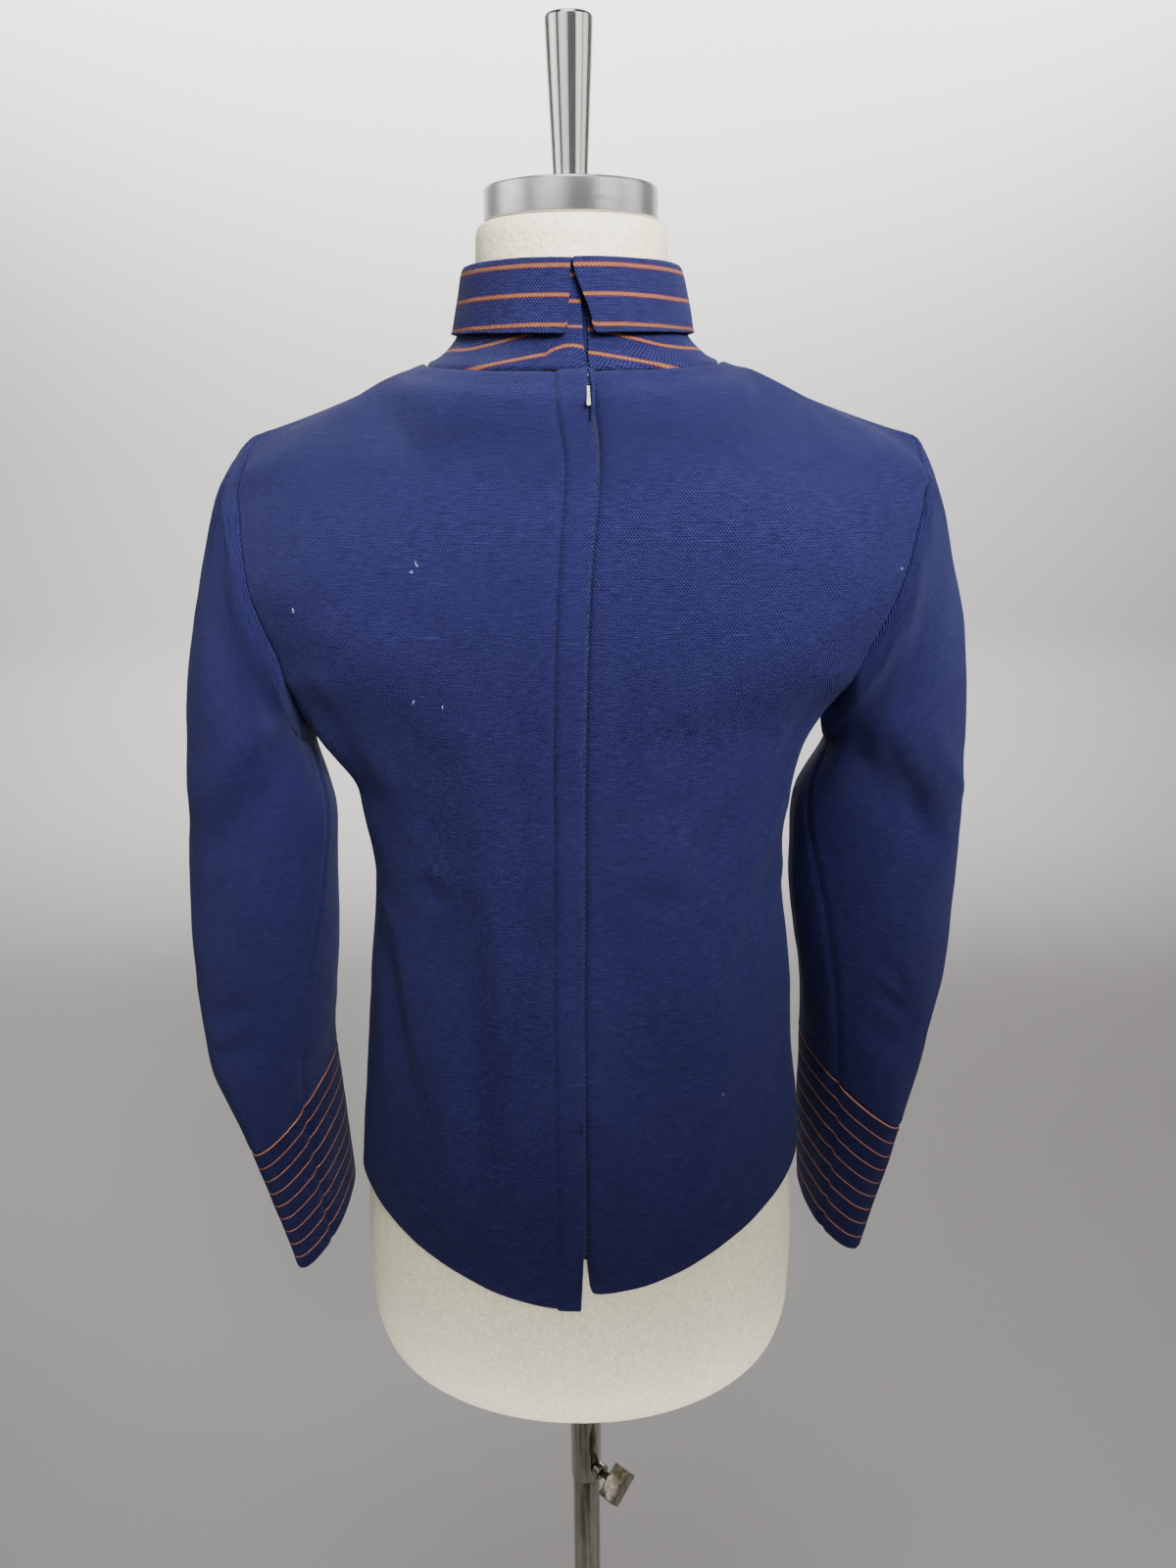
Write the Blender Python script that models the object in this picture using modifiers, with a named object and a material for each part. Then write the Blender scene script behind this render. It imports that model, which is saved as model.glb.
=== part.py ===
"""Mock neck blouse with a turned-down collar, worn on a limbless dress form.

Metres, +Z up, origin on the floor under the form. The blouse's front faces -Y
and its zipped back faces +Y, so the wearer's left is +X.
Each cut piece is a wall between an outer grid of points and the same grid moved
in along its normals, which neighbours share at their seams.
"""
import math
from collections import namedtuple

import bmesh
import bpy
import numpy as np
from mathutils import Matrix, Vector

# Cloth
CLOTH = 0.0016              # thickness of the double knit
SEAM_GAP = 0.0003           # between two pieces at a seam
LAP_WIDTH = 0.0150          # fold of the left back that covers the zip
LAP_STEP = 0.0022           # run of the step down from that fold
LAP_RISE = 0.0011
OPENING_GAP = 0.0010        # between the two backs along the zip
SLIDER_GAP = 0.0022         # the same at the zip's slider
VENT_GAP = 0.0062           # the same at the hem
VENT_HEIGHT = 0.055

# Resolution of the panels
NECK_COLUMNS = 5            # regular columns that end on the neckline
SHOULDER_COLUMNS = 7        # columns that end on the shoulder seam
BODY_ROWS = 12              # hem to underarm
ARMHOLE_ROWS = 10           # underarm to shoulder tip
SLEEVE_ROWS = 13
CUFF_ROWS = 4

# Stand
FORM_SOLE = 0.7003
CAP_RADIUS, CAP_BOTTOM, CAP_TOP = 0.0500, 1.4913, 1.5095
FINIAL_HEIGHT = 0.0850
TUBE_RADIUS, TUBE_BORE, TUBE_END = 0.0123, 0.0113, 0.5510
FLANGE_RADIUS, FLANGE_THICK = 0.0400, 0.0045
POLE_RADIUS, POLE_TOP = 0.0110, 0.6850
BASE_RADIUS, BASE_THICK = 0.1800, 0.0120
HUB_RADIUS, HUB_HEIGHT, HUB_BORE = 0.0260, 0.0420, 0.0113
SCREW_HEIGHT = 0.5640
SCREW_TURN = math.radians(135)      # screw's direction, from +X towards +Y
FIT_GAP = 0.0003

Level = namedtuple("Level", "name z_side x_left x_right y_edge_back y_edge_front in_front "
                            "flare z_back y_back z_front y_front wrap")

# Rings of the blouse's body, hem to shoulder. z_side, x and y_edge place the side
# seam, which above the underarm is the armhole's edge. z and y of back and front
# place the centre line, flare is how much of x is pulled out by the sleeve, and
# wrap is how far round the panel turns, in degrees.
BLOUSE = [
    Level("hem",      0.868, 0.1615, 0.1565, 0.000,  0.000, 0.000, 0.000, 0.818, 0.1125, 0.840, -0.1060, 90),
    Level("hip",      0.905, 0.1580, 0.1550, 0.000,  0.000, 0.000, 0.000, 0.872, 0.1135, 0.887, -0.1070, 90),
    Level("low",      0.960, 0.1525, 0.1492, 0.000,  0.000, 0.000, 0.000, 0.942, 0.1085, 0.951, -0.1040, 90),
    Level("waist",    1.030, 0.1445, 0.1445, 0.000,  0.000, 0.000, 0.000, 1.022, 0.1010, 1.026, -0.0990, 90),
    Level("midriff",  1.095, 0.1375, 0.1380, 0.000,  0.000, 0.000, 0.000, 1.094, 0.0960, 1.095, -0.0995, 90),
    Level("rib",      1.150, 0.1410, 0.1390, 0.002,  0.002, 0.000, 0.000, 1.150, 0.0960, 1.150, -0.1110, 90),
    Level("web",      1.180, 0.1560, 0.1460, 0.006,  0.006, 0.000, 0.012, 1.179, 0.0970, 1.179, -0.1180, 90),
    Level("underarm", 1.200, 0.1745, 0.1570, 0.012,  0.012, 0.000, 0.024, 1.203, 0.0985, 1.201, -0.1215, 86),
    Level("arm_low",  1.240, 0.1775, 0.1715, 0.050, -0.046, 0.010, 0.010, 1.250, 0.0995, 1.250, -0.1190, 75),
    Level("arm_mid",  1.290, 0.1925, 0.1935, 0.052, -0.048, 0.016, 0.000, 1.303, 0.0965, 1.298, -0.1090, 66),
    Level("arm_high", 1.336, 0.1985, 0.2065, 0.034, -0.032, 0.010, 0.000, 1.354, 0.0890, 1.345, -0.0950, 60),
]
UNDERARM = 7                # row of the table where the armhole starts

RIGHT_LIFT, RIGHT_LIFT_END = 0.0120, 1.000   # the right back's hem is pulled up by this

# The solid form under it, whose side closes with an arm plate above the underarm.
FORM = [
    Level("sole",     0.7003, 0.1180, 0.1150, 0.0, 0.0, 0.0, 0.0, 0.7003, 0.0780, 0.7003, -0.0740, 90),
    Level("edge",     0.7050, 0.1390, 0.1350, 0.0, 0.0, 0.0, 0.0, 0.7050, 0.0955, 0.7050, -0.0900, 90),
    Level("turn",     0.7220, 0.1545, 0.1500, 0.0, 0.0, 0.0, 0.0, 0.7220, 0.1075, 0.7220, -0.1015, 90),
    Level("low_hip",  0.7500, 0.1600, 0.1555, 0.0, 0.0, 0.0, 0.0, 0.7500, 0.1110, 0.7500, -0.1050, 90),
    Level("hip",      0.8000, 0.1605, 0.1560, 0.0, 0.0, 0.0, 0.0, 0.8000, 0.1110, 0.8000, -0.1050, 90),
    Level("high_hip", 0.8680, 0.1565, 0.1515, 0.0, 0.0, 0.0, 0.0, 0.8680, 0.1060, 0.8680, -0.1000, 90),
    Level("belly",    0.9400, 0.1480, 0.1445, 0.0, 0.0, 0.0, 0.0, 0.9400, 0.0980, 0.9400, -0.0950, 90),
    Level("waist",    1.0300, 0.1330, 0.1315, 0.0, 0.0, 0.0, 0.0, 1.0300, 0.0860, 1.0300, -0.0870, 90),
    Level("midriff",  1.0950, 0.1270, 0.1265, 0.0, 0.0, 0.0, 0.0, 1.0950, 0.0830, 1.0950, -0.0900, 90),
    Level("rib",      1.1500, 0.1310, 0.1300, 0.0, 0.0, 0.0, 0.0, 1.1500, 0.0850, 1.1500, -0.1020, 90),
    Level("underarm", 1.1950, 0.1370, 0.1360, 0.010, 0.010, 0.0, 0.0, 1.1950, 0.0885, 1.1950, -0.1130, 88),
    Level("arm_low",  1.2400, 0.1440, 0.1430, 0.042, -0.040, 0.006, 0.0, 1.2450, 0.0925, 1.2450, -0.1110, 78),
    Level("arm_mid",  1.2900, 0.1580, 0.1570, 0.043, -0.040, 0.012, 0.0, 1.3000, 0.0905, 1.2950, -0.1010, 70),
    Level("arm_high", 1.3340, 0.1660, 0.1680, 0.028, -0.026, 0.008, 0.0, 1.3500, 0.0825, 1.3420, -0.0870, 64),
]
FORM_UNDERARM = 10

# Neckline and shoulder seams
NECK_HALF, NECK_SIDE_Z = 0.0880, 1.4155
NECK_BACK_Y, NECK_BACK_Z = 0.0720, 1.4105
NECK_FRONT_Y, NECK_FRONT_Z = -0.0780, 1.3880
SHOULDER_SAG = 0.0022
TIP = {1: (0.1900, 1.3775), -1: (0.2065, 1.3730)}        # shoulder tip by side: x, z
YOKE_EDGE = {1: (0.1965, 1.3600), -1: (0.2095, 1.3520)}  # armhole just under the tip
YOKE_EDGE_Y = 0.0190
YOKE_REACH, YOKE_REACH_SHOULDER = 0.0125, 0.0280
YOKE_DROP, YOKE_DROP_SHOULDER = 0.0175, 0.0060
YOKE_SWEEP = math.radians(36)
FORM_SHOULDER = 0.84        # how far along the blouse's shoulder the form's reaches
FORM_LOWER = 0.0021         # the form's shoulder under the blouse's
FORM_INSET = 0.0036         # and how far in from it the back and the front are

# Height of the opening and how far it strays from the middle
OPENING = [(0.81, -0.0020), (0.93, -0.0019), (1.00, -0.0016), (1.10, -0.0028), (1.18, -0.0036),
           (1.29, -0.0065), (1.31, -0.0089), (1.34, -0.0113), (1.357, -0.0125), (1.375, -0.0116),
           (1.39, -0.0101), (1.41, -0.0080)]

Ring = namedtuple("Ring", "name x y z long short turn rise_out rise_back")

# Rings of each sleeve below its head. long and short are half axes, turn is how
# far the long one is turned from sideways to backwards, in degrees, and the
# rises tilt the ring: height gained per metre outwards and backwards.
SLEEVE = {1: [
    Ring("biceps",   0.2075,  0.003, 1.217, 0.0540, 0.0345, 90,  1.08,  0.00),
    Ring("upper",    0.2096,  0.001, 1.150, 0.0500, 0.0462, 90,  0.34,  0.00),
    Ring("mid",      0.2140, -0.001, 1.090, 0.0485, 0.0470,  0,  0.08, -0.02),
    Ring("elbow",    0.2182, -0.005, 1.030, 0.0505, 0.0400, 40, -0.08, -0.06),
    Ring("forearm",  0.2223, -0.012, 0.965, 0.0505, 0.0340, 51, -0.27, -0.15),
    Ring("cuff_top", 0.2152, -0.019, 0.903, 0.0490, 0.0205, 66, -0.49, -0.28),
    Ring("cuff_mid", 0.2075, -0.019, 0.848, 0.0470, 0.0185, 72, -0.38, -0.26),
    Ring("cuff_end", 0.1996, -0.019, 0.793, 0.0450, 0.0165, 77, -0.29, -0.24),
], -1: [
    Ring("biceps",   0.2040,  0.003, 1.217, 0.0535, 0.0405, 90,  0.95,  0.00),
    Ring("upper",    0.1975,  0.001, 1.150, 0.0570, 0.0380, 35,  0.30,  0.00),
    Ring("mid",      0.1991, -0.002, 1.090, 0.0570, 0.0345, 30,  0.06, -0.02),
    Ring("elbow",    0.2019, -0.006, 1.032, 0.0535, 0.0325, 28, -0.10, -0.04),
    Ring("forearm",  0.2035, -0.013, 0.972, 0.0475, 0.0285, 32, -0.34, -0.08),
    Ring("cuff_top", 0.1985, -0.019, 0.915, 0.0476, 0.0222, 53, -0.56, -0.13),
    Ring("cuff_mid", 0.1945, -0.020, 0.856, 0.0455, 0.0205, 64, -0.43, -0.12),
    Ring("cuff_end", 0.1898, -0.020, 0.798, 0.0432, 0.0187, 75, -0.29, -0.12),
]}
CUFF_RING = 5               # row of the tables where the cuff is sewn on
HEAD_OUT = {1: 0.0130, -1: 0.0075}      # how far the sleeve's head stands out of the armhole
HEAD_DROP = 0.0088
CAP_BULGE = 0.0012

Fold = namedtuple("Fold", "name x0 z0 x1 z1 width depth")

# Creases of the back, as ridges (+) and troughs (-) between two places on it
BACK_FOLDS = [
    Fold("left_blade_hollow",   0.085, 1.200,  0.100, 1.120, 0.024, -0.0035),
    Fold("left_dimple",         0.092, 1.105,  0.086, 1.040, 0.016, -0.0025),
    Fold("left_inner_ridge",    0.052, 1.160,  0.046, 0.900, 0.013,  0.0030),
    Fold("left_groove",         0.068, 1.100,  0.064, 0.920, 0.011, -0.0028),
    Fold("left_outer_ridge",    0.090, 1.010,  0.084, 0.870, 0.014,  0.0026),
    Fold("right_blade_hollow", -0.052, 1.210, -0.062, 1.130, 0.024, -0.0035),
    Fold("right_band",         -0.055, 1.150, -0.080, 1.080, 0.014,  0.0026),
    Fold("right_groove",       -0.036, 1.090, -0.040, 0.950, 0.012, -0.0026),
    Fold("right_outer_ridge",  -0.088, 1.060, -0.090, 0.900, 0.015,  0.0030),
    Fold("left_drag",           0.165, 1.215,  0.125, 1.100, 0.012,  0.0022),
    Fold("right_drag",         -0.150, 1.200, -0.118, 1.110, 0.012,  0.0020),
]
# The same on the hidden front, placed unevenly
FRONT_FOLDS = [
    Fold("left_drape",    0.070, 1.120,  0.066, 0.890, 0.016,  0.0030),
    Fold("left_trough",   0.094, 1.080,  0.088, 0.900, 0.013, -0.0026),
    Fold("middle_ridge", -0.010, 1.060, -0.004, 0.880, 0.016,  0.0022),
    Fold("right_drape",  -0.074, 1.110, -0.082, 0.880, 0.015,  0.0030),
    Fold("right_trough", -0.048, 1.070, -0.050, 0.920, 0.013, -0.0024),
    Fold("left_pull",     0.150, 1.210,  0.110, 1.150, 0.012,  0.0020),
    Fold("right_pull",   -0.140, 1.215, -0.104, 1.145, 0.013,  0.0020),
]

SleeveFold = namedtuple("SleeveFold", "name round0 z0 round1 z1 width depth")

# Creases of a sleeve: places by the direction round it, in degrees from outwards
# to backwards, and height
SLEEVE_FOLDS = [
    SleeveFold("underarm_drag", 140, 1.190,  60, 1.120, 0.013, -0.0045),
    SleeveFold("drag_ridge",    120, 1.215,  40, 1.150, 0.015,  0.0040),
    SleeveFold("elbow_upper",   100, 1.010,  60, 0.985, 0.009, -0.0030),
    SleeveFold("elbow_lower",   105, 0.975,  55, 0.955, 0.009, -0.0026),
    SleeveFold("front_drag",   -130, 1.195, -60, 1.130, 0.014, -0.0035),
    SleeveFold("front_elbow",   -95, 1.000, -50, 1.015, 0.011, -0.0024),
]

Neck = namedtuple("Neck", "name x y_back y_front z_back z_side z_front end_left end_right")

# Path of the collar from the neckline seam up the stand, over the fold and down
# the turned part, on the side that the stand shows. The ends place the opening.
COLLAR = [
    Neck("flare",     0.0785, 0.0695, -0.0745, 1.4160, 1.4195, 1.3970, -0.0072, -0.0092),
    Neck("rise",      0.0700, 0.0655, -0.0705, 1.4250, 1.4275, 1.4100, -0.0072, -0.0090),
    Neck("stand",     0.0640, 0.0620, -0.0665, 1.4390, 1.4400, 1.4300, -0.0072, -0.0088),
    Neck("under",     0.0600, 0.0600, -0.0636, 1.4560, 1.4570, 1.4500, -0.0066, -0.0086),
    Neck("fold_in",   0.0597, 0.0598, -0.0632, 1.4630, 1.4640, 1.4590, -0.0030, -0.0060),
    Neck("fold_top",  0.0612, 0.0612, -0.0646, 1.4652, 1.4662, 1.4614, -0.0008, -0.0034),
    Neck("fold_out",  0.0628, 0.0626, -0.0662, 1.4630, 1.4640, 1.4590, -0.0004, -0.0034),
    Neck("band",      0.0652, 0.0646, -0.0688, 1.4500, 1.4510, 1.4450,  0.0004, -0.0056),
    Neck("band_low",  0.0672, 0.0668, -0.0712, 1.4380, 1.4400, 1.4320,  0.0020, -0.0128),
    Neck("band_edge", 0.0690, 0.0690, -0.0732, 1.4275, 1.4305, 1.4200,  0.0036, -0.0100),
]

# Rings of the form's neck above its neckline: half width, depth back and front, height
FORM_NECK = [
    (0.0660, 0.0585, -0.0625, 1.4215),
    (0.0600, 0.0560, -0.0580, 1.4400),
    (0.0560, 0.0550, -0.0555, 1.4600),
    (0.0555, 0.0550, -0.0550, 1.4800),
    (0.0535, 0.0530, -0.0530, 1.4885),
    (0.0490, 0.0485, -0.0485, 1.4910),
]


def clear_scene():
    for item in list(bpy.data.objects):
        bpy.data.objects.remove(item)


def material(name, color, roughness, metallic=0.0):
    made = bpy.data.materials.new(name)
    made.use_nodes = True
    shader = made.node_tree.nodes["Principled BSDF"]
    shader.inputs["Base Color"].default_value = (*color, 1.0)
    shader.inputs["Roughness"].default_value = roughness
    shader.inputs["Metallic"].default_value = metallic
    made.diffuse_color = (*color, 1.0)
    return made


def add_object(name, mesh, finish, home):
    thing = bpy.data.objects.new(name, mesh)
    thing.data.materials.clear()
    thing.data.materials.append(finish)
    home.objects.link(thing)
    return thing


def smooth_step(value):
    value = np.clip(value, 0.0, 1.0)
    return value * value * (3.0 - 2.0 * value)


def through(knots, points, at):
    """Smooth curve through rows of points, read at the values in `at`."""
    knots = np.asarray(knots, float)
    points = np.asarray(points, float)
    slopes = np.gradient(points, knots, axis=0)
    secants = np.diff(points, axis=0) / np.diff(knots).reshape(-1, *[1] * (points.ndim - 1))
    least = np.minimum(np.abs(secants[1:]), np.abs(secants[:-1])) * 1.6
    same = secants[1:] * secants[:-1] > 0
    slopes[1:-1] = np.where(same, np.clip(slopes[1:-1], -least, least), slopes[1:-1])
    rows = []
    for value in at:
        k = int(np.clip(np.searchsorted(knots, value, side="right") - 1, 0, len(knots) - 2))
        span = knots[k + 1] - knots[k]
        t = (value - knots[k]) / span
        rows.append((2 * t**3 - 3 * t**2 + 1) * points[k] + (t**3 - 2 * t**2 + t) * span * slopes[k]
                    + (3 * t**2 - 2 * t**3) * points[k + 1] + (t**3 - t**2) * span * slopes[k + 1])
    return np.array(rows)


def opening_x(z):
    heights, strays = zip(*OPENING)
    return float(np.interp(z, heights, strays))


def opening_half_gap(z):
    """Half of the gap between the two backs: wider at the slider and at the vent."""
    slider = smooth_step((z - 1.365) / 0.02)
    vent = smooth_step((0.818 + VENT_HEIGHT - z) / VENT_HEIGHT)
    gap = OPENING_GAP + (SLIDER_GAP - OPENING_GAP) * slider + (VENT_GAP - OPENING_GAP) * vent
    return gap / 2


def column_shares(lap_columns):
    """Columns from the centre line (0) to the side (1); lap columns come as distances."""
    total = NECK_COLUMNS + SHOULDER_COLUMNS
    shares = [k / total for k in range(total + 1)]
    if not lap_columns:
        return [("share", share) for share in shares]
    lap = [("away", 0.0), ("away", LAP_WIDTH), ("away", LAP_WIDTH + LAP_STEP)]
    return lap + [("share", share) for share in shares[2:]]


def level_row(level, side, back, columns, centred=False):
    """One ring of a half panel, from the centre line to the side."""
    x_side = level.x_left if side > 0 else level.x_right
    y_side = level.y_edge_back if back else level.y_edge_front
    z_mid, y_mid = (level.z_back, level.y_back) if back else (level.z_front, level.y_front)
    if not back:
        x_side -= level.in_front
    flare = level.flare
    body = x_side - flare
    wrap = math.radians(level.wrap)
    middle = 0.0
    if back and not centred:
        middle = side * opening_x(z_mid) + opening_half_gap(z_mid)
    row = []
    for kind, value in columns:
        if kind == "away":
            reach = value / (body - middle)
        else:
            reach = math.sin(value * wrap) / math.sin(wrap)
        angle = math.asin(min(1.0, reach * math.sin(wrap)))
        depth = (math.cos(angle) - math.cos(wrap)) / (1 - math.cos(wrap))
        x = middle + (body - middle) * reach + flare * reach**5
        y = y_side + (y_mid - y_side) * depth
        z = z_mid + (level.z_side - z_mid) * reach**1.6
        if side < 0 and not centred:
            lift = smooth_step((RIGHT_LIFT_END - z) / (RIGHT_LIFT_END - 0.82))
            z += RIGHT_LIFT * lift * (1.0 if back else smooth_step(reach))
        row.append((side * x, y, z))
    return row


def top_rows(side, back, columns, shoulder=1.0, lower=0.0, inset=0.0, centred=False):
    """The yoke row and the top row: neckline, then shoulder seam."""
    neck_y, neck_z = (NECK_BACK_Y, NECK_BACK_Z) if back else (NECK_FRONT_Y, NECK_FRONT_Z)
    tip_x, tip_z = TIP[side]
    edge_x, edge_z = YOKE_EDGE[side]
    facing = 1 if back else -1
    neck_share = NECK_COLUMNS / (NECK_COLUMNS + SHOULDER_COLUMNS)
    middle = 0.0
    if back and not centred:
        middle = side * opening_x(neck_z) + opening_half_gap(neck_z)
    middle_low = middle
    if middle:
        middle_low = side * opening_x(neck_z - YOKE_DROP) + opening_half_gap(neck_z - YOKE_DROP)
    yoke, top = [], []
    for kind, value in columns:
        if kind == "away" or value <= neck_share + 1e-9:
            if kind == "away":
                sine = (middle + value) / NECK_HALF
            else:
                start = math.asin(middle / NECK_HALF)
                sine = math.sin(start + value / neck_share * (math.pi / 2 - start))
            turn = math.asin(min(1.0, sine))
            along = turn / (math.pi / 2)
            point = Vector((NECK_HALF * sine, neck_y * math.cos(turn),
                            neck_z + (NECK_SIDE_Z - neck_z) * (1 - math.cos(turn))))
            sweep = YOKE_SWEEP * along
            reach = YOKE_REACH + (YOKE_REACH_SHOULDER - YOKE_REACH) * along
            drop = YOKE_DROP + (YOKE_DROP_SHOULDER - YOKE_DROP) * along
            edge = 0.0
        else:
            along = (value - neck_share) / (1 - neck_share) * shoulder
            sag = SHOULDER_SAG * math.sin(math.pi * along)
            point = Vector((NECK_HALF + (tip_x - NECK_HALF) * along, 0.0,
                            NECK_SIDE_Z + (tip_z - NECK_SIDE_Z) * along - sag))
            sweep = YOKE_SWEEP * (1 - along)
            reach, drop = YOKE_REACH_SHOULDER, YOKE_DROP_SHOULDER
            edge = along
        point.z -= lower
        low = point + Vector((reach * math.sin(sweep), facing * reach * math.cos(sweep), -drop))
        target = Vector((edge_x, facing * YOKE_EDGE_Y, edge_z - lower))
        low = low.lerp(target, edge**3)
        low.x += (middle_low - middle) * max(0.0, 1 - (point.x - middle) / 0.05)
        low.z -= 0.004 * edge * (1 - edge)
        if inset:
            low.x = low.x * (1 - edge) + point.x * edge
            low.y -= facing * inset
            low.z -= inset * 0.8
            scale = 1 - inset / NECK_HALF if point.y else 1.0
            point = Vector((point.x * scale, point.y * scale, point.z))
        top.append((side * point.x, point.y, point.z))
        yoke.append((side * low.x, low.y, low.z))
    return yoke, top


def fold_shift(folds, points, normals, place):
    """Move points along their normals by the soft troughs and ridges in `folds`."""
    shifted = points.copy()
    here = place(points)
    for fold in folds:
        _, a0, b0, a1, b1, width, depth = fold
        start, end = np.array((a0, b0)), np.array((a1, b1))
        run = end - start
        along = ((here - start) @ run) / (run @ run)
        nearest = start + np.clip(along, 0, 1)[..., None] * run
        away = np.linalg.norm(here - nearest, axis=-1)
        taper = smooth_step(1.0 - np.clip(np.abs(along - 0.5) - 0.25, 0, 1) / 0.45)
        shifted += normals * (depth * taper * np.exp(-(away / width) ** 2))[..., None]
    return shifted


def grid_normals(grid, wrapped):
    """Unit normals of a grid of points, by central differences."""
    down = np.gradient(grid, axis=0)
    if wrapped:
        across = (np.roll(grid, -1, axis=1) - np.roll(grid, 1, axis=1)) / 2
    else:
        across = np.gradient(grid, axis=1)
    normals = np.cross(down, across)
    return normals / np.maximum(np.linalg.norm(normals, axis=-1, keepdims=True), 1e-12)


def outward(grid, normals, centre):
    """Turn a piece's normals away from a centre, judged on its first two rows."""
    return normals if ((grid[:2] - centre) * normals[:2]).sum() > 0 else -normals


def spans_down(rows):
    """Distance of each row from the first, along the middle of a half panel."""
    middle = np.asarray(rows)[:, NECK_COLUMNS]
    return np.concatenate(([0.0], np.cumsum(np.linalg.norm(np.diff(middle, axis=0), axis=-1))))


def half_panel(side, back, body_rows=BODY_ROWS, armhole_rows=ARMHOLE_ROWS):
    """Grid of a half panel, hem to neckline and shoulder seam."""
    columns = column_shares(back)
    rows = [level_row(level, side, back, columns) for level in BLOUSE]
    rows += top_rows(side, back, columns)
    rows = np.array(rows)
    plain = column_shares(False)
    knots = spans_down([level_row(level, 1, True, plain) for level in BLOUSE] + list(top_rows(1, True, plain)))
    start, middle, end = knots[0], knots[UNDERARM], knots[-1]
    at = list(np.linspace(start, middle, body_rows, endpoint=False))
    at += list(np.linspace(middle, end, armhole_rows + 1))
    return through(knots, rows, at)


def seam_normals(grids):
    """Average the normals of the pieces that meet at a point, and put them back."""
    gathered = {}
    for grid, normals in grids:
        for point, normal in zip(grid.reshape(-1, 3), normals.reshape(-1, 3)):
            key = tuple(np.round(point, 6))
            gathered[key] = gathered.get(key, 0) + normal
    shared = []
    for grid, normals in grids:
        flat = np.array([gathered[tuple(np.round(point, 6))] for point in grid.reshape(-1, 3)])
        flat /= np.maximum(np.linalg.norm(flat, axis=-1, keepdims=True), 1e-12)
        shared.append(flat.reshape(grid.shape))
    return shared


def draw_in(grid, edges, amount, wrapped=False):
    """Pull the named edges of a grid back from their seams, square to the seam."""
    moved = grid.copy()
    for edge in edges:
        index, inside = {"low": (0, 1), "high": (-1, -2), "start": (0, 1), "end": (-1, -2)}[edge]
        across = edge in ("start", "end")
        line = moved[:, index] if across else moved[index]
        step = (moved[:, inside] if across else moved[inside]) - line
        if wrapped:
            along = np.roll(line, -1, axis=0) - np.roll(line, 1, axis=0)
        else:
            along = np.gradient(line, axis=0)
        along /= np.maximum(np.linalg.norm(along, axis=-1, keepdims=True), 1e-12)
        step -= (step * along).sum(axis=-1, keepdims=True) * along
        step /= np.maximum(np.linalg.norm(step, axis=-1, keepdims=True), 1e-12)
        line += step * amount
    return moved


def wall(name, outer, inner, wrapped=False):
    """Closed wall between two grids of the same shape."""
    frame = bmesh.new()
    rows, columns = outer.shape[:2]
    faces = []

    def vertices(grid):
        return [[frame.verts.new(point) for point in row] for row in grid]

    out, back = vertices(outer), vertices(inner)
    last = columns if wrapped else columns - 1
    for i in range(rows - 1):
        for j in range(last):
            k = (j + 1) % columns
            faces.append((out[i][j], out[i][k], out[i + 1][k], out[i + 1][j]))
            faces.append((back[i][j], back[i + 1][j], back[i + 1][k], back[i][k]))
    for j in range(last):
        k = (j + 1) % columns
        faces.append((out[0][j], back[0][j], back[0][k], out[0][k]))
        faces.append((out[-1][j], out[-1][k], back[-1][k], back[-1][j]))
    if not wrapped:
        for i in range(rows - 1):
            faces.append((out[i][0], out[i + 1][0], back[i + 1][0], back[i][0]))
            faces.append((out[i][-1], back[i][-1], back[i + 1][-1], out[i + 1][-1]))
    for face in faces:
        frame.faces.new(face)
    return finish_mesh(frame, name)


def finish_mesh(frame, name, sharp=math.radians(50)):
    bmesh.ops.triangulate(frame, faces=frame.faces[:])
    bmesh.ops.recalc_face_normals(frame, faces=frame.faces[:])
    mesh = bpy.data.meshes.new(name)
    frame.to_mesh(mesh)
    frame.free()
    mesh.shade_smooth()
    mesh.set_sharp_from_angle(angle=sharp)
    return mesh


def back_place(points):
    return points[..., [0, 2]]


def body_grids():
    """Outer grids of both backs and of the front, before their folds."""
    left, right = half_panel(1, True), half_panel(-1, True)
    front_left, front_right = half_panel(1, False), half_panel(-1, False)
    front = np.concatenate((front_left[:, ::-1], front_right[:, 1:]), axis=1)
    return left, right, front


def armhole_loop(back, front_edge):
    """Armhole points from the underarm up the back to the tip and down the front."""
    up = back[BODY_ROWS:, -1]
    down = front_edge[BODY_ROWS:][::-1]
    return np.concatenate((up, down[1:-1]))


def armhole_angles(count):
    """Direction round the sleeve of each armhole point: 180 underarm, 0 tip, -180 back again."""
    return np.linspace(180.0, -180.0, count, endpoint=False)


def sleeve_ring(ring, side, angles):
    turn = math.radians(ring.turn)
    points = []
    for angle in angles:
        t = math.radians(angle) - turn
        out = ring.long * math.cos(t) * math.cos(turn) - ring.short * math.sin(t) * math.sin(turn)
        back = ring.long * math.cos(t) * math.sin(turn) + ring.short * math.sin(t) * math.cos(turn)
        points.append((side * (ring.x + out), ring.y + back,
                       ring.z + ring.rise_out * out + ring.rise_back * back))
    return points


def sleeve_head(loop, side, angles):
    """Ring just outside the armhole: outwards at the tip, down at the underarm."""
    points = []
    for point, angle in zip(loop, angles):
        top = 0.5 + 0.5 * math.cos(math.radians(angle))
        back = math.sin(math.radians(angle))
        shift = (side * HEAD_OUT[side] * (0.18 + 0.82 * top), 0.004 * back,
                 -HEAD_DROP * (1.25 - 0.25 * top - 0.55 * abs(back)))
        points.append(point + np.array(shift))
    return points


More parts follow.
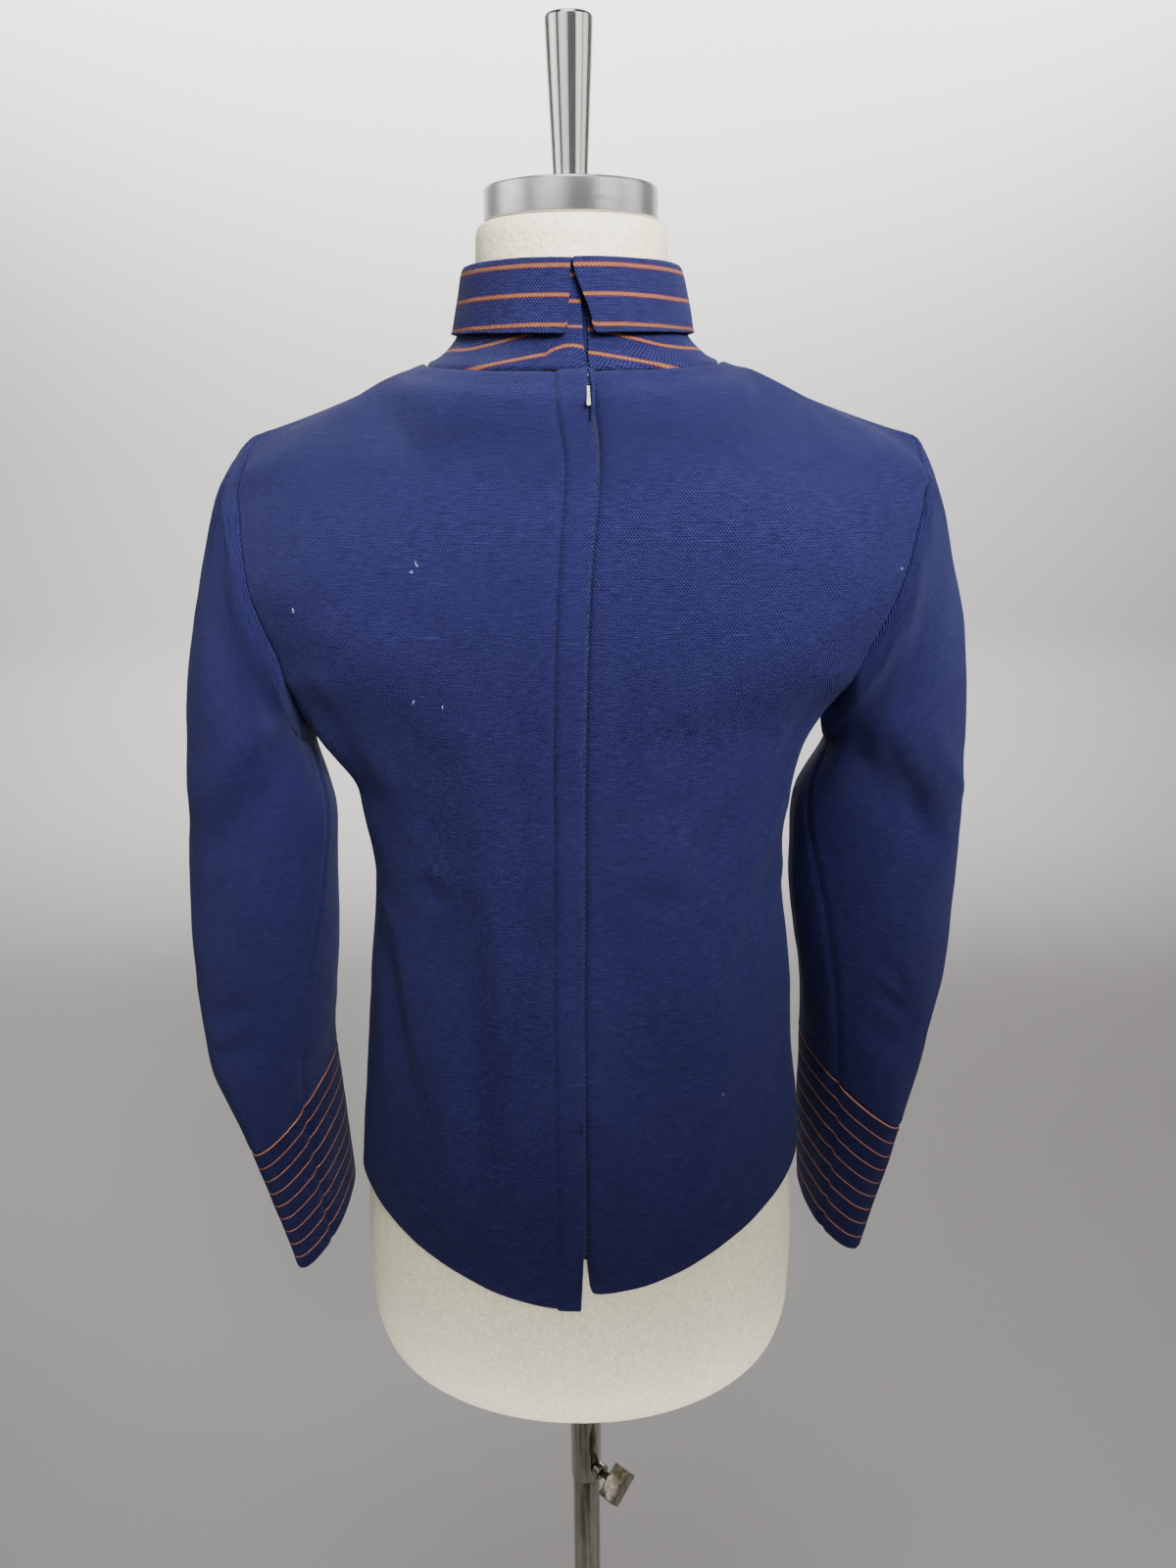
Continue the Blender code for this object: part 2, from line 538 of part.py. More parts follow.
def sleeve_grid(loop, side, sleeve_rows=SLEEVE_ROWS, cuff_rows=CUFF_ROWS):
    """Grids of a sleeve and of its cuff, armhole to wrist."""
    angles = armhole_angles(len(loop))
    head = np.array(sleeve_head(loop, side, angles))
    lower = [sleeve_ring(ring, side, angles) for ring in SLEEVE[side]]
    cap = (head + np.array(lower[0])) / 2
    cap[:, 0] += side * CAP_BULGE
    rings = np.array([list(loop), head, cap] + lower)
    steps = np.linalg.norm(np.diff(rings, axis=0), axis=-1).mean(axis=1)
    knots = np.concatenate(([0.0], np.cumsum(steps)))
    seam = knots[3 + CUFF_RING]
    at = list(np.linspace(0, 1, sleeve_rows + 1) ** 1.4 * seam)
    at += list(np.linspace(seam, knots[-1], cuff_rows + 1)[1:])
    grid = through(knots, rings, at)
    centres = grid.mean(axis=1, keepdims=True)
    normals = grid_normals(grid, True)
    normals = outward(grid[4:6], normals[4:6], centres[4:6])[0, 0] @ normals[4, 0] * normals

    def place(points):
        round_about = np.tile(np.asarray(angles), (points.shape[0], 1))
        return np.stack((np.radians(round_about) * 0.045, points[..., 2]), axis=-1)

    folds = [fold._replace(round0=math.radians(fold.round0) * 0.045, round1=math.radians(fold.round1) * 0.045)
             for fold in SLEEVE_FOLDS]
    shifted = fold_shift(folds, grid, normals, place)
    shifted[:2] = grid[:2]
    return shifted[:sleeve_rows + 1], shifted[sleeve_rows:]


def neckline(left, right, front):
    """Neckline points from the left end round the front to the right end."""
    back_count = NECK_COLUMNS + 2
    first = left[-1, :back_count]
    middle = front[-1, SHOULDER_COLUMNS:-SHOULDER_COLUMNS]
    last = right[-1, :back_count][::-1]
    return np.concatenate((first, middle[1:], last[1:]))


def collar_grid(line):
    """Grid of the collar, from the neckline seam over the fold to the free edge."""
    turns = []
    for x, y, _ in line:
        depth = NECK_BACK_Y if y >= 0 else -NECK_FRONT_Y
        turns.append(math.atan2(x / NECK_HALF, y / depth))
    turns = np.unwrap(turns)
    rows = [list(line)]
    for neck in COLLAR:
        row = []
        for k, turn in enumerate(turns):
            sine, cosine = math.sin(turn), math.cos(turn)
            depth, height = (neck.y_back, neck.z_back) if cosine >= 0 else (-neck.y_front, neck.z_front)
            x = neck.x * sine
            if k < 3 or k >= len(turns) - 3:
                left = k < 3
                end = neck.end_left if left else neck.end_right
                away = (k if left else len(turns) - 1 - k) * 0.008
                x = end + away if left else end - away
                sine = x / neck.x
                cosine = math.sqrt(1 - sine * sine)
            z = height + (neck.z_side - height) * sine * sine
            row.append((x, depth * cosine, z))
        rows.append(row)
    return np.array(rows)


def make_blouse(cloth, rib, home):
    left, right, front = body_grids()
    half = NECK_COLUMNS + SHOULDER_COLUMNS
    middle = np.array((0.0, 0.0, 0.9))
    shifted = []
    for grid, folds in ((left, BACK_FOLDS), (right, BACK_FOLDS), (front, FRONT_FOLDS)):
        normals = outward(grid, grid_normals(grid, False), middle)
        shifted.append(fold_shift(folds, grid, normals, back_place))
    left, right, front = shifted
    for panel, edge in ((left, front[:, 0]), (right, front[:, -1])):
        shared = (panel[:, -1] + edge) / 2
        panel[:BODY_ROWS + 1, -1] = shared[:BODY_ROWS + 1]
        edge[:BODY_ROWS + 1] = shared[:BODY_ROWS + 1]
    pieces = {"back_left": left, "back_right": right, "front": front}
    wrapped = set()
    for side, word, panel, edge in ((1, "left", left, front[:, 0]), (-1, "right", right, front[:, -1])):
        loop = armhole_loop(panel, edge)
        pieces["sleeve_" + word], pieces["cuff_" + word] = sleeve_grid(loop, side)
        wrapped |= {"sleeve_" + word, "cuff_" + word}
    pieces["collar"] = collar_grid(neckline(left, right, front))

    grids = []
    for name, grid in pieces.items():
        normals = grid_normals(grid, name in wrapped)
        centre = grid[:2].mean(axis=1, keepdims=True) if name in wrapped else middle
        if name == "collar":
            centre = np.array((0.0, 0.0, grid[0, 0, 2]))
        if name.startswith("sleeve"):
            probe = grid[5:7]
            sign = 1 if ((probe - probe.mean(axis=1, keepdims=True)) * normals[5:7]).sum() > 0 else -1
            normals = normals * sign
        else:
            normals = outward(grid, normals, centre)
        grids.append((grid, normals))
    seams = {
        "back_left": ("end", "high"), "back_right": ("end", "high"),
        "front": ("start", "end", "high"), "collar": ("low",),
        "sleeve_left": ("low", "high"), "sleeve_right": ("low", "high"),
        "cuff_left": ("low",), "cuff_right": ("low",),
    }
    for (name, grid), (_, own), normals in zip(pieces.items(), grids, seam_normals(grids)):
        if name.startswith("sleeve"):
            share = smooth_step((np.abs(armhole_angles(grid.shape[1])) - 100) / 50)[:, None]
            normals[0] = normals[0] * (1 - share) + own[0] * share
            normals[0] /= np.linalg.norm(normals[0], axis=-1, keepdims=True)
        inner = grid - normals * CLOTH
        outer = grid.copy()
        if name == "back_left":
            outer[:, :2] += normals[:, :2] * LAP_RISE
        outer = draw_in(outer, seams[name], SEAM_GAP / 2, name in wrapped)
        inner = draw_in(inner, seams[name], SEAM_GAP / 2, name in wrapped)
        striped = name.startswith("cuff") or name == "collar"
        add_object(name, wall(name, outer, inner, name in wrapped), rib if striped else cloth, home)
    return left, right, half


def form_half_rows(side, back, columns):
    rows = [level_row(level, side, back, columns, centred=True) for level in FORM]
    rows += top_rows(side, back, columns, FORM_SHOULDER, FORM_LOWER, FORM_INSET, centred=True)
    return np.array(rows)


def make_form(finish, home):
    """Solid form: panels, arm plates, neck and flat sole in one closed mesh."""
    columns = column_shares(False)
    plate_columns = 4
    frame = bmesh.new()
    quarters = {}
    knots = spans_down(form_half_rows(1, True, columns))
    for side in (1, -1):
        for back in (True, False):
            rows = form_half_rows(side, back, columns)
            at = [knots[0], knots[1], knots[2]]
            at += list(np.linspace(knots[3], knots[FORM_UNDERARM], 10))
            at += list(np.linspace(knots[FORM_UNDERARM], knots[-1], 8)[1:])
            quarter = through(knots, rows, at)
            quarter[..., 1] = np.maximum(quarter[..., 1], 0) if back else np.minimum(quarter[..., 1], 0)
            quarters[side, back] = quarter
    count = len(quarters[1, True])
    loops = []
    for i in range(count):
        loop = []
        for side in (1, -1):
            order = (True, False) if side > 0 else (False, True)
            first, second = quarters[side, order[0]][i], quarters[side, order[1]][i]
            start, end = first[-1], second[-1]
            plate = []
            for k in range(1, plate_columns):
                share = k / plate_columns
                bulge = 0.10 * np.linalg.norm(end - start) * math.sin(math.pi * share)
                plate.append(start + (end - start) * share + np.array((side * bulge, 0, 0)))
            loop += list(first[:-1]) + [start] + plate + list(second[::-1][:-1])
        loops.append([frame.verts.new(point) for point in loop])
    size = len(loops[0])
    for low, high in zip(loops, loops[1:]):
        for j in range(size):
            k = (j + 1) % size
            frame.faces.new((low[j], low[k], high[k], high[j]))
    frame.faces.new(loops[0][::-1])
    neck_end = NECK_COLUMNS
    half = len(columns) - 1
    skip = plate_columns - 1 + 2 * (half - neck_end)
    top = loops[-1]
    ring = top[:neck_end + 1]
    ring += top[neck_end + skip + 2:neck_end + skip + 2 + 2 * neck_end]
    ring += top[size - neck_end:]
    ring = [vertex for vertex in ring if math.hypot(vertex.co.x, vertex.co.y) < NECK_HALF + 0.001]
    ring = close_neck(frame, ring)
    bmesh.ops.remove_doubles(frame, verts=frame.verts[:], dist=0.00005)
    return add_object("dress_form", finish_mesh(frame, "dress_form"), finish, home)


def close_neck(frame, ring):
    """Raise the neck's rings from the neckline and cap the last one."""
    turns = [math.atan2(vertex.co.x / NECK_HALF, vertex.co.y / (NECK_BACK_Y if vertex.co.y > 0 else -NECK_FRONT_Y))
             for vertex in ring]
    previous = ring
    for half, back, front, z in FORM_NECK:
        current = []
        for turn in turns:
            depth = back if math.cos(turn) >= 0 else -front
            current.append(frame.verts.new((half * math.sin(turn), depth * math.cos(turn), z)))
        for j in range(len(ring)):
            k = (j + 1) % len(ring)
            frame.faces.new((previous[j], previous[k], current[k], current[j]))
        previous = current
    frame.faces.new(previous)
    return previous


def turned(name, profile, finish, home, steps=32):
    """Turned solid from a profile of (radius, height), outer side top to bottom."""
    mesh = bpy.data.meshes.new(name)
    mesh.from_pydata([(radius, 0.0, height) for radius, height in profile],
                     [(k, k + 1) for k in range(len(profile) - 1)], [])
    thing = add_object(name, mesh, finish, home)
    screw = thing.modifiers.new("turn", "SCREW")
    screw.steps = screw.render_steps = steps
    screw.merge_threshold = 0.0000001
    screw.use_merge_vertices = True
    return thing


def rounded_profile(points, radius, steps=3):
    """Profile with its inner corners rounded."""
    made = [points[0]]
    for before, corner, after in zip(points, points[1:], points[2:]):
        corner = Vector(corner)
        back = (Vector(before) - corner)
        ahead = (Vector(after) - corner)
        cut = min(radius, back.length / 2, ahead.length / 2)
        start, end = corner + back.normalized() * cut, corner + ahead.normalized() * cut
        for k in range(steps + 1):
            t = k / steps
            made.append(tuple((1 - t)**2 * start + 2 * t * (1 - t) * corner + t**2 * end))
    made.append(points[-1])
    return made


def make_stand(chrome, steel, painted, home):
    turned("neck_cap", rounded_profile([(0, CAP_TOP), (CAP_RADIUS, CAP_TOP), (CAP_RADIUS, CAP_BOTTOM),
                                        (0, CAP_BOTTOM)], 0.0014), steel, home)
    foot = CAP_TOP + FIT_GAP
    head = foot + FINIAL_HEIGHT
    turned("finial", rounded_profile([(0, head), (0.0137, head), (0.0134, head - 0.010), (0.0103, foot + 0.004),
                                      (0.0108, foot), (0, foot)], 0.0012), chrome, home)
    flange_top = FORM_SOLE - FIT_GAP
    flange_low = flange_top - FLANGE_THICK
    roof = flange_top - 0.004
    profile = [(0, flange_top), (FLANGE_RADIUS, flange_top), (FLANGE_RADIUS, flange_low),
               (TUBE_RADIUS + 0.001, flange_low), (TUBE_RADIUS, flange_low - 0.002), (TUBE_RADIUS, TUBE_END),
               (TUBE_BORE, TUBE_END), (TUBE_BORE, roof), (0, roof)]
    tube = turned("form_tube", profile, chrome, home, 24)
    add_boss(tube)
    turned("stand_pole", [(0, POLE_TOP), (POLE_RADIUS - 0.001, POLE_TOP), (POLE_RADIUS, POLE_TOP - 0.001),
                          (POLE_RADIUS, BASE_THICK + 0.0043), (0, BASE_THICK + 0.0043)], chrome, home, 24)
    turned("stand_base", [(0, BASE_THICK + 0.004), (HUB_BORE, BASE_THICK + 0.004), (HUB_BORE, HUB_HEIGHT),
                          (HUB_RADIUS - 0.003, HUB_HEIGHT), (HUB_RADIUS, HUB_HEIGHT - 0.003),
                          (HUB_RADIUS + 0.006, BASE_THICK + 0.004), (BASE_RADIUS - 0.012, BASE_THICK),
                          (BASE_RADIUS - 0.002, BASE_THICK - 0.003), (BASE_RADIUS, 0.005), (BASE_RADIUS, 0.0),
                          (0, 0.0)], painted, home, 48)
    make_screw(chrome, home)


def screw_frame():
    """Matrix at the pole's surface, whose +Z runs out along the clamp screw."""
    direction = Vector((math.cos(SCREW_TURN), math.sin(SCREW_TURN), 0.0))
    turn = direction.to_track_quat("Z", "Y").to_matrix().to_4x4()
    return Matrix.Translation(Vector((0, 0, SCREW_HEIGHT)) + direction * POLE_RADIUS) @ turn


def mesh_object(name, frame, matrix):
    frame.transform(matrix)
    mesh = bpy.data.meshes.new(name)
    frame.to_mesh(mesh)
    frame.free()
    return mesh


def cylinder_mesh(name, radius, low, high, matrix, sides=16):
    frame = bmesh.new()
    bmesh.ops.create_cone(frame, cap_ends=True, segments=sides, radius1=radius, radius2=radius, depth=high - low,
                          matrix=Matrix.Translation((0, 0, (low + high) / 2)))
    return mesh_object(name, frame, matrix)


def block_mesh(name, size, centre, matrix):
    frame = bmesh.new()
    bmesh.ops.create_cube(frame, size=1.0, matrix=Matrix.Translation(centre) @ Matrix.Diagonal((*size, 1.0)))
    return mesh_object(name, frame, matrix)


def combine(target, mesh, operation, cutters, finish):
    tool = add_object(mesh.name, mesh, finish, cutters)
    tool.hide_render = True
    tool.display_type = "WIRE"
    change = target.modifiers.new(operation.lower(), "BOOLEAN")
    change.operation = operation
    change.object = tool


def cutters_home():
    return bpy.data.collections["Cutters"]


def add_boss(tube):
    """Boss on the tube, with the hole that the clamp screw runs in."""
    place = screw_frame()
    finish = tube.data.materials[0]
    start = TUBE_BORE - POLE_RADIUS + 0.0004
    combine(tube, cylinder_mesh("boss", 0.0062, start, 0.0085, place), "UNION", cutters_home(), finish)
    combine(tube, cylinder_mesh("boss_hole", 0.0033, -0.002, 0.0120, place, 12), "DIFFERENCE", cutters_home(), finish)


def make_screw(finish, home):
    """Clamp screw: shank through the boss and a square block to turn it by."""
    place = screw_frame()
    shank = add_object("clamp_screw", cylinder_mesh("clamp_screw", 0.0030, FIT_GAP, 0.0160, place, 12), finish, home)
    block = block_mesh("knob_block", (0.0230, 0.0130, 0.0210), (0, 0, 0.0250), place)
    combine(shank, block, "UNION", cutters_home(), finish)


def slider_frame(left, right, down_by):
    """Frame between the backs' edges under the neckline: X sideways, Y down the cloth, Z out of it."""
    high, low = ((left[row, 0] + right[row, 0]) / 2 for row in (-1, -2))
    down = Vector(low - high).normalized()
    out = Vector((1.0, 0.0, 0.0)).cross(down)
    if out.y < 0:
        out = -out
    out.normalize()
    turn = Matrix((down.cross(out), down, out)).transposed().to_4x4()
    return Matrix.Translation(Vector(high) + down * down_by) @ turn


def plate_from_outline(name, outlines, thickness, matrix):
    """Flat plate from closed outlines of (x, y); the second one is a hole."""
    curve = bpy.data.curves.new(name, "CURVE")
    curve.dimensions = "2D"
    curve.fill_mode = "BOTH"
    curve.extrude = thickness / 2
    for outline in outlines:
        spline = curve.splines.new("POLY")
        spline.points.add(len(outline) - 1)
        for point, (x, y) in zip(spline.points, outline):
            point.co = (x, y, 0, 1)
        spline.use_cyclic_u = True
    helper = bpy.data.objects.new(name + "_outline", curve)
    bpy.context.scene.collection.objects.link(helper)
    bpy.context.view_layer.update()
    mesh = bpy.data.meshes.new_from_object(helper.evaluated_get(bpy.context.evaluated_depsgraph_get()))
    bpy.data.objects.remove(helper)
    frame = bmesh.new()
    frame.from_mesh(mesh)
    bmesh.ops.remove_doubles(frame, verts=frame.verts[:], dist=0.00001)
    bmesh.ops.recalc_face_normals(frame, faces=frame.faces[:])
    bpy.data.meshes.remove(mesh)
    made = mesh_object(name, frame, matrix)
    made.name = name
    return made


SLIDER_DOWN = 0.0045        # slider's start below the neckline seam
ARCH_FOOT, ARCH_LENGTH, ARCH_WIDTH = 0.0010, 0.0050, 0.0012
ARCH_LOW, ARCH_HIGH, ARCH_TOP = 0.0016, 0.0038, 0.0048
TAPE_DEPTH, TAPE_THICK, TAPE_HALF = 0.0008, 0.0008, 0.0120
TAB_LENGTH, TAB_HALF, TAB_THICK = 0.0230, 0.0021, 0.0010
TAB_BAR = 0.0010
TAPE_START = 1              # row of the backs where the tape ends above the hem


def make_zip(left, right, tape_cloth, metal, home):
    """Tape under the opening, the slider at its top and the pull tab that hangs from it."""
    make_tape(left, right, tape_cloth, home)
    place = slider_frame(left, right, SLIDER_DOWN)
    depth = CLOTH + TAPE_DEPTH
    side_view = Matrix(((0, 0, 1, 0), (1, 0, 0, 0), (0, 1, 0, 0), (0, 0, 0, 1)))
    outline = [(0, -depth - 0.0004), (ARCH_LENGTH, -depth - 0.0004), (ARCH_LENGTH, ARCH_TOP), (0, ARCH_TOP)]
    window = [(ARCH_FOOT, ARCH_LOW), (ARCH_LENGTH - ARCH_FOOT, ARCH_LOW), (ARCH_LENGTH - ARCH_FOOT, ARCH_HIGH),
              (ARCH_FOOT, ARCH_HIGH)]
    arch = plate_from_outline("zip_slider", [outline, window], ARCH_WIDTH, place @ side_view)
    slider = add_object("zip_slider", arch, metal, home)
    body = block_mesh("slider_body", (0.0050, 0.0080, TAPE_THICK), (0, 0.0035, -depth - TAPE_THICK / 2), place)
    combine(slider, body, "UNION", cutters_home(), metal)
    hinge = Vector((0, ARCH_LENGTH / 2, (ARCH_LOW + ARCH_HIGH) / 2))
    end = TAB_LENGTH
    outline = [(-TAB_HALF, -TAB_BAR / 2), (TAB_HALF, -TAB_BAR / 2), (TAB_HALF, end - 0.0015),
               (TAB_HALF - 0.0010, end), (-TAB_HALF + 0.0010, end), (-TAB_HALF, end - 0.0015)]
    window = [(-TAB_HALF + 0.0009, TAB_BAR / 2), (TAB_HALF - 0.0009, TAB_BAR / 2),
              (TAB_HALF - 0.0009, 0.0042), (-TAB_HALF + 0.0009, 0.0042)]
    tab = plate_from_outline("zip_pull_tab", [outline, window], TAB_THICK, place @ Matrix.Translation(hinge))
    add_object("zip_pull_tab", tab, metal, home)
    return place @ hinge, place


def make_tape(left, right, finish, home):
    """Strip under both edges of the opening, from under the slider to the vent."""
    middle = np.array((0.0, 0.0, 0.9))
    columns = []
    for grid in (left, right):
        normals = outward(grid, grid_normals(grid, False), middle)
        edge, across = grid[:, 0], grid[:, 1] - grid[:, 0]
        reach = np.linalg.norm(across, axis=-1, keepdims=True)
        pair = [(edge + across / reach * TAPE_HALF, normals[:, 0]), (edge, normals[:, 0])]
        columns += pair if grid is left else pair[::-1]
    points = np.stack([column for column, _ in columns], axis=1)
    normals = np.stack([normal for _, normal in columns], axis=1)
    span = np.linalg.norm(points[-1, 1] - points[-2, 1])
    share = (SLIDER_DOWN + 0.0085) / span
    ends = [grid[-1] + (grid[-2] - grid[-1]) * share for grid in (points, normals)]
    points = np.concatenate((points[TAPE_START:-1], ends[0][None]))
    normals = np.concatenate((normals[TAPE_START:-1], ends[1][None]))
    outer = points - normals * (CLOTH + TAPE_DEPTH)
    inner = points - normals * (CLOTH + TAPE_DEPTH + TAPE_THICK)
    add_object("zip_tape", wall("zip_tape", outer, inner), finish, home)


def main():
    clear_scene()
    home = bpy.data.collections.new("Mock neck blouse on a dress form")
    cutters = bpy.data.collections.new("Cutters")
    for collection in (home, cutters):
        bpy.context.scene.collection.children.link(collection)
    knit = material("Navy double knit", (0.012, 0.018, 0.105), 0.85)
    striped = material("Striped navy knit", (0.010, 0.014, 0.080), 0.85)
    jersey = material("Off-white jersey", (0.76, 0.74, 0.69), 0.95)
    chrome = material("Polished chrome", (0.72, 0.72, 0.72), 0.12, 1.0)
    steel = material("Brushed steel", (0.55, 0.55, 0.54), 0.35, 1.0)
    painted = material("Satin grey paint", (0.30, 0.30, 0.30), 0.45)
    tape = material("Zip tape", (0.010, 0.012, 0.050), 0.90)
    left, right, _ = make_blouse(knit, striped, home)
    make_form(jersey, home)
    make_stand(chrome, steel, painted, home)
    make_zip(left, right, tape, chrome, home)


main()
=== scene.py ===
"""Mock neck blouse on a dress form: cloth, stand and stage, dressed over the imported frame.

Metres, +Z up, origin on the floor under the form. The blouse's front faces -Y and
its zipped back faces +Y, so the wearer's left is +X. Every cut piece is a fine grid
laid on the same named rings and rows as its solid, then given its creases, its seams
and its thickness.
"""
import math
from collections import namedtuple
from functools import lru_cache

import bmesh
import bpy
import numpy as np
from bpy.props import FloatProperty, FloatVectorProperty, IntProperty, PointerProperty
from mathutils import Matrix, Vector, noise


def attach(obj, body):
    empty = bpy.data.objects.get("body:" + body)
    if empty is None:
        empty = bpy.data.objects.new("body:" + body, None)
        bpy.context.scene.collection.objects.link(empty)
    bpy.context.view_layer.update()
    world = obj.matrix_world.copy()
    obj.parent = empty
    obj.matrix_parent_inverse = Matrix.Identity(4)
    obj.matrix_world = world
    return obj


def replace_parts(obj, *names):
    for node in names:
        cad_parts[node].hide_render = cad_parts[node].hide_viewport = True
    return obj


bl_info = {
    "name": "Mock neck blouse on a dress form",
    "version": (1, 0, 0),
    "blender": (4, 5, 0),
    "location": "View3D > Sidebar > Blouse",
    "description": "Dresses the blouse, its form and the stand in cloth, metal and paint",
    "category": "Object",
}

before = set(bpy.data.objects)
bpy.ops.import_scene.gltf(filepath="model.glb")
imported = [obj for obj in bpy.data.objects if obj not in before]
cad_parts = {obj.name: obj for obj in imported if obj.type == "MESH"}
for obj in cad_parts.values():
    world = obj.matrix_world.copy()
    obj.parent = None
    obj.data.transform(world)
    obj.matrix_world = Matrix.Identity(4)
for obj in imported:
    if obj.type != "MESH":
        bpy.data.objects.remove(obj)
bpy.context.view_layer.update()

# Cloth
CLOTH = 0.0016
LAP_WIDTH, LAP_STEP, LAP_RISE = 0.0150, 0.0022, 0.0011
OPENING_GAP, SLIDER_GAP, VENT_GAP, VENT_HEIGHT = 0.0010, 0.0022, 0.0062, 0.055
NECK_COLUMNS, SHOULDER_COLUMNS, BODY_ROWS, ARMHOLE_ROWS = 5, 7, 12, 10
SLEEVE_ROWS, CUFF_ROWS = 13, 4
SEAM_STEPS = (0.0005, 0.0011, 0.0019, 0.0030)   # rows beside a seam, for its turn
CUT_MARGIN, SLEEVE_RADIUS, COLLAR_END, JOIN_WIDTH = 0.02, 0.045, 0.024, 0.03
STRIPE_SPACING, FOLD_HALF = 0.0136, 0.0018
BODY_MIDDLE, NECK_MIDDLE = np.array((0.0, 0.0, 0.95)), np.array((0.0, 0.0, 1.40))

# Soft lines in the cloth: depth, distance from the edge, reach
TURNED_EDGE, HEM_LINE = (0.0006, 0.0, 0.0011), (0.00022, 0.024, 0.0022)
LAP_GROOVE, LAP_EDGE, LAP_TACK = (0.0013, 0.0161, 0.0012), (0.0005, 0.0, 0.0008), (0.0005, 0.0190, 0.0016)
UNDER_LAP, UNDER_SLOPE, UNDER_TOP = (0.0023, 0.0, 0.0021), (0.0010, 0.0, 0.0050), (0.0007, 0.0, 0.0060)
FACING_PUFF, FACING_STITCH = (0.0008, 0.0070, 0.0040), (0.0010, 0.0130, 0.0010)
LAP_TURN, HEAD_PUCKER, COLLAR_LAP = (0.0013, 0.0, 0.0045), (0.00045, 0.007, 0.007), (0.0006, 0.0154, 0.0011)
LAP_PUFF, CORNER_OUT, CORNER_ASIDE = 0.0003, 0.0028, 0.0026

# Low waves of the cloth: size, height and where their noise is read
BODY_WAVES = ((0.060, 0.0016, 0), (0.022, 0.0006, 5))
SLEEVE_WAVES = ((0.050, 0.0012, 11), (0.020, 0.0004, 15))
COLLAR_WAVE = (0.030, 0.0010, 21)

Level = namedtuple("Level", "name z_side x_left x_right y_edge_back y_edge_front in_front "
                            "flare z_back y_back z_front y_front wrap")

# Rings of the blouse's body, hem to shoulder
BLOUSE = [
    Level("hem",      0.868, 0.1615, 0.1565, 0.000,  0.000, 0.000, 0.000, 0.818, 0.1125, 0.840, -0.1060, 90),
    Level("hip",      0.905, 0.1580, 0.1550, 0.000,  0.000, 0.000, 0.000, 0.872, 0.1135, 0.887, -0.1070, 90),
    Level("low",      0.960, 0.1525, 0.1492, 0.000,  0.000, 0.000, 0.000, 0.942, 0.1085, 0.951, -0.1040, 90),
    Level("waist",    1.030, 0.1445, 0.1445, 0.000,  0.000, 0.000, 0.000, 1.022, 0.1010, 1.026, -0.0990, 90),
    Level("midriff",  1.095, 0.1375, 0.1380, 0.000,  0.000, 0.000, 0.000, 1.094, 0.0960, 1.095, -0.0995, 90),
    Level("rib",      1.150, 0.1410, 0.1390, 0.002,  0.002, 0.000, 0.000, 1.150, 0.0960, 1.150, -0.1110, 90),
    Level("web",      1.180, 0.1560, 0.1460, 0.006,  0.006, 0.000, 0.012, 1.179, 0.0970, 1.179, -0.1180, 90),
    Level("underarm", 1.200, 0.1745, 0.1570, 0.012,  0.012, 0.000, 0.024, 1.203, 0.0985, 1.201, -0.1215, 86),
    Level("arm_low",  1.240, 0.1775, 0.1715, 0.050, -0.046, 0.010, 0.010, 1.250, 0.0995, 1.250, -0.1190, 75),
    Level("arm_mid",  1.290, 0.1925, 0.1935, 0.052, -0.048, 0.016, 0.000, 1.303, 0.0965, 1.298, -0.1090, 66),
    Level("arm_high", 1.336, 0.1985, 0.2065, 0.034, -0.032, 0.010, 0.000, 1.354, 0.0890, 1.345, -0.0950, 60),
]
UNDERARM = 7
RIGHT_LIFT, RIGHT_LIFT_END = 0.0120, 1.000


def flat_level(name, z, x_left, x_right, y_back, y_front):
    """Level ring that wraps to the sides, with nothing at the armholes."""
    return Level(name, z, x_left, x_right, 0.0, 0.0, 0.0, 0.0, z, y_back, z, y_front, 90)


# The form under it
FORM = [
    flat_level("sole",     0.7003, 0.1180, 0.1150, 0.0780, -0.0740),
    flat_level("edge",     0.7050, 0.1390, 0.1350, 0.0955, -0.0900),
    flat_level("turn",     0.7220, 0.1545, 0.1500, 0.1075, -0.1015),
    flat_level("low_hip",  0.7500, 0.1600, 0.1555, 0.1110, -0.1050),
    flat_level("hip",      0.8000, 0.1605, 0.1560, 0.1110, -0.1050),
    flat_level("high_hip", 0.8680, 0.1565, 0.1515, 0.1060, -0.1000),
    flat_level("belly",    0.9400, 0.1480, 0.1445, 0.0980, -0.0950),
    flat_level("waist",    1.0300, 0.1330, 0.1315, 0.0860, -0.0870),
    flat_level("midriff",  1.0950, 0.1270, 0.1265, 0.0830, -0.0900),
    flat_level("rib",      1.1500, 0.1310, 0.1300, 0.0850, -0.1020),
    Level("underarm", 1.1950, 0.1370, 0.1360, 0.010, 0.010, 0.0, 0.0, 1.1950, 0.0885, 1.1950, -0.1130, 88),
    Level("arm_low",  1.2400, 0.1440, 0.1430, 0.042, -0.040, 0.006, 0.0, 1.2450, 0.0925, 1.2450, -0.1110, 78),
    Level("arm_mid",  1.2900, 0.1580, 0.1570, 0.043, -0.040, 0.012, 0.0, 1.3000, 0.0905, 1.2950, -0.1010, 70),
    Level("arm_high", 1.3340, 0.1660, 0.1680, 0.028, -0.026, 0.008, 0.0, 1.3500, 0.0825, 1.3420, -0.0870, 64),
]
FORM_UNDERARM = 10

